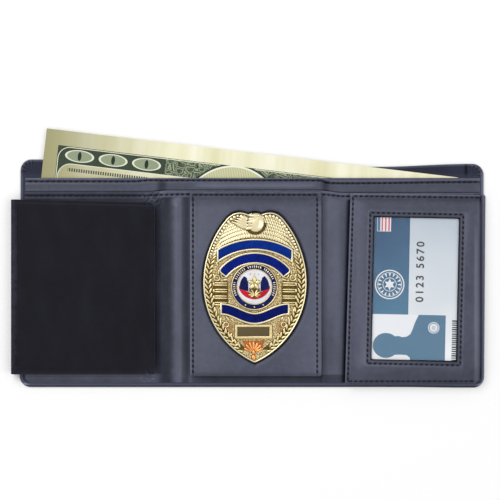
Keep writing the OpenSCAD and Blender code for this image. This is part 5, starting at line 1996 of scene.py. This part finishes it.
dark = add("Mix", hatch, "#1d2823", "#56624f", data_type="RGBA")
oval_ink = add("Mix", hatch, "#9ea78b", "#808c70", data_type="RGBA")
light_line = add("Math", oval_line, corner_line, operation="MAXIMUM")
for mask, ink in ((where(leafy, without(chain)), "#9ca688"), (oval_fill, oval_ink),
                  (light_line, "#e2e6cc"), (lens, "#26322b")):
    dark = add("Mix", mask, dark, ink, data_type="RGBA")
print("border's inks done")

# %% [markdown]
# The inks are laid over the paper one after the other, each by its mask, as a printer would. The
# paper is a little darker at its left, and its fibres show as a faint unevenness.

# %% Note paper
ovals = in_oval(along, FRAME_X, FRAME_HALF_W, down, FRAME_Y, FRAME_HALF_H)
in_frame = where(printed_part, add("Math", ovals, 1.0, operation="LESS_THAN"))
frame_line = where(printed_part, inside(ovals, 0.955, 1.0))
rays = lines_along(along, 0.8, 0.35)
# A printed dark ring just outside the oval frame
dark_ring_line = where(printed_part, inside(ovals, 1.0, 1.05))
row_of_marks = where(inside(down, 17.4, 19.0), inside(along, 12.0, 50.0),
                     lines_along(along, 1.15, 0.6))

fibres = add("TexNoise", {"Vector": uv, "Scale": 0.35, "Detail": 8})
streaks = add("TexNoise", {"Vector": add("Mapping", {"Vector": uv, "Scale": (0.08, 0.012, 1)}),
                           "Scale": 1.0, "Detail": 4})
paper = add("Mix", add("MapRange", streaks, 0.32, 0.62), "#e0dcb0", "#f5f3da", data_type="RGBA")
paper = add("Mix", add("MapRange", along, 0.0, 60.0, 0.9, 0.0), paper, "#969268", data_type="RGBA")
inner = add("Mix", rays, "#d3d1a9", "#b0b186", data_type="RGBA")
for mask, ink in ((row_of_marks, "#4a5144"), (in_border, dark),
                  (where(printed_part, field_line), "#e2e6cc"), (dark_ring_line, "#313c34"),
                  (in_frame, inner), (frame_line, "#eef0da")):
    paper = add("Mix", mask, paper, ink, data_type="RGBA")
grain = add("Bump", {"Height": fibres, "Strength": 0.3, "Distance": 0.05 * MM})
add("OutputMaterial", add("BsdfPrincipled", {
    "Base Color": paper, "Roughness": 0.8, "Specular IOR Level": 0.2, "Normal": grain}))
print("note paper done")

# %% [markdown]
# The note stands out of the bill compartment at a slant. It has to bend over both folds, so it is
# cut in the same places as the other sheets, and it waves a little where nothing holds it.

# %% Banknote
note_box = box_mm("banknote")
note_corner = Vector((-99.3, 68.7))
NOTE_EDGE_R = 0.02
out = Vector((cos(NOTE_TILT), sin(NOTE_TILT)))
up = Vector((-out.y, out.x))


def on_note(u, v):
    """Place of a point that lies u along and v down from the note's top left corner."""
    return note_corner + out * u - up * v


def note_lift(x, y):
    """The note lies flat in the compartment and waves a little where it stands out."""
    free = soft_step((y - wall_top) / 10)
    return free * (0.5 + 0.45 * ripple(x, y, 21, 31) + 0.25 * sin(x / 9))


note_outline = [on_note(*corner) for corner in ((0, NOTE_H), (NOTE_L, NOTE_H), (NOTE_L, 0), (0, 0))]
bm = plate([note_outline], note_box[0].z, note_box[1].z, NOTE_EDGE_R)
cut(bm, 0, fold_cuts())
cut(bm, 1, steps(note_box[0].y + 6, wall_top, 10) + steps(wall_top + 1.5, note_box[1].y - 1, 1.5))
for v in bm.verts:
    v.co.z += note_lift(v.co.x, v.co.y)
uv_layer = bm.loops.layers.uv.new("note")
for face in bm.faces:
    for loop in face.loops:
        away = Vector(loop.vert.co.xy) - note_corner
        loop[uv_layer].uv = (away.dot(out), -away.dot(up))
bend_halves(bm, "note_paper_sheet", note_paper, ["banknote"], ())
print("banknote done")

# %% [markdown]
# The pieces hidden inside the wallet keep their CAD shape, and only get their materials. They are
# plain solids, so modelling them again would add nothing to look at.

# %% Finishes of the CAD pieces that stay
FINISHES = {"flap_board": grey_board, "badge_board": grey_board, "badge_backing": black_felt,
            "badge_pin": pin_steel, "pin_hinge": pin_steel, "pin_catch": pin_steel,
            "window_spacer": lining_leather}
for name, finish in FINISHES.items():
    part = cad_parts[name]
    for slot in part.material_slots:
        slot.material = finish
    if not part.material_slots:
        part.data.materials.append(finish)
print("finished:", len(FINISHES), "CAD pieces")

# %% [markdown]
# Last, the dressed model's size is printed.

# %% Sizes and finish
low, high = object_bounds()
print("visual box in mm:", [round(size / MM, 1) for size in high - low])
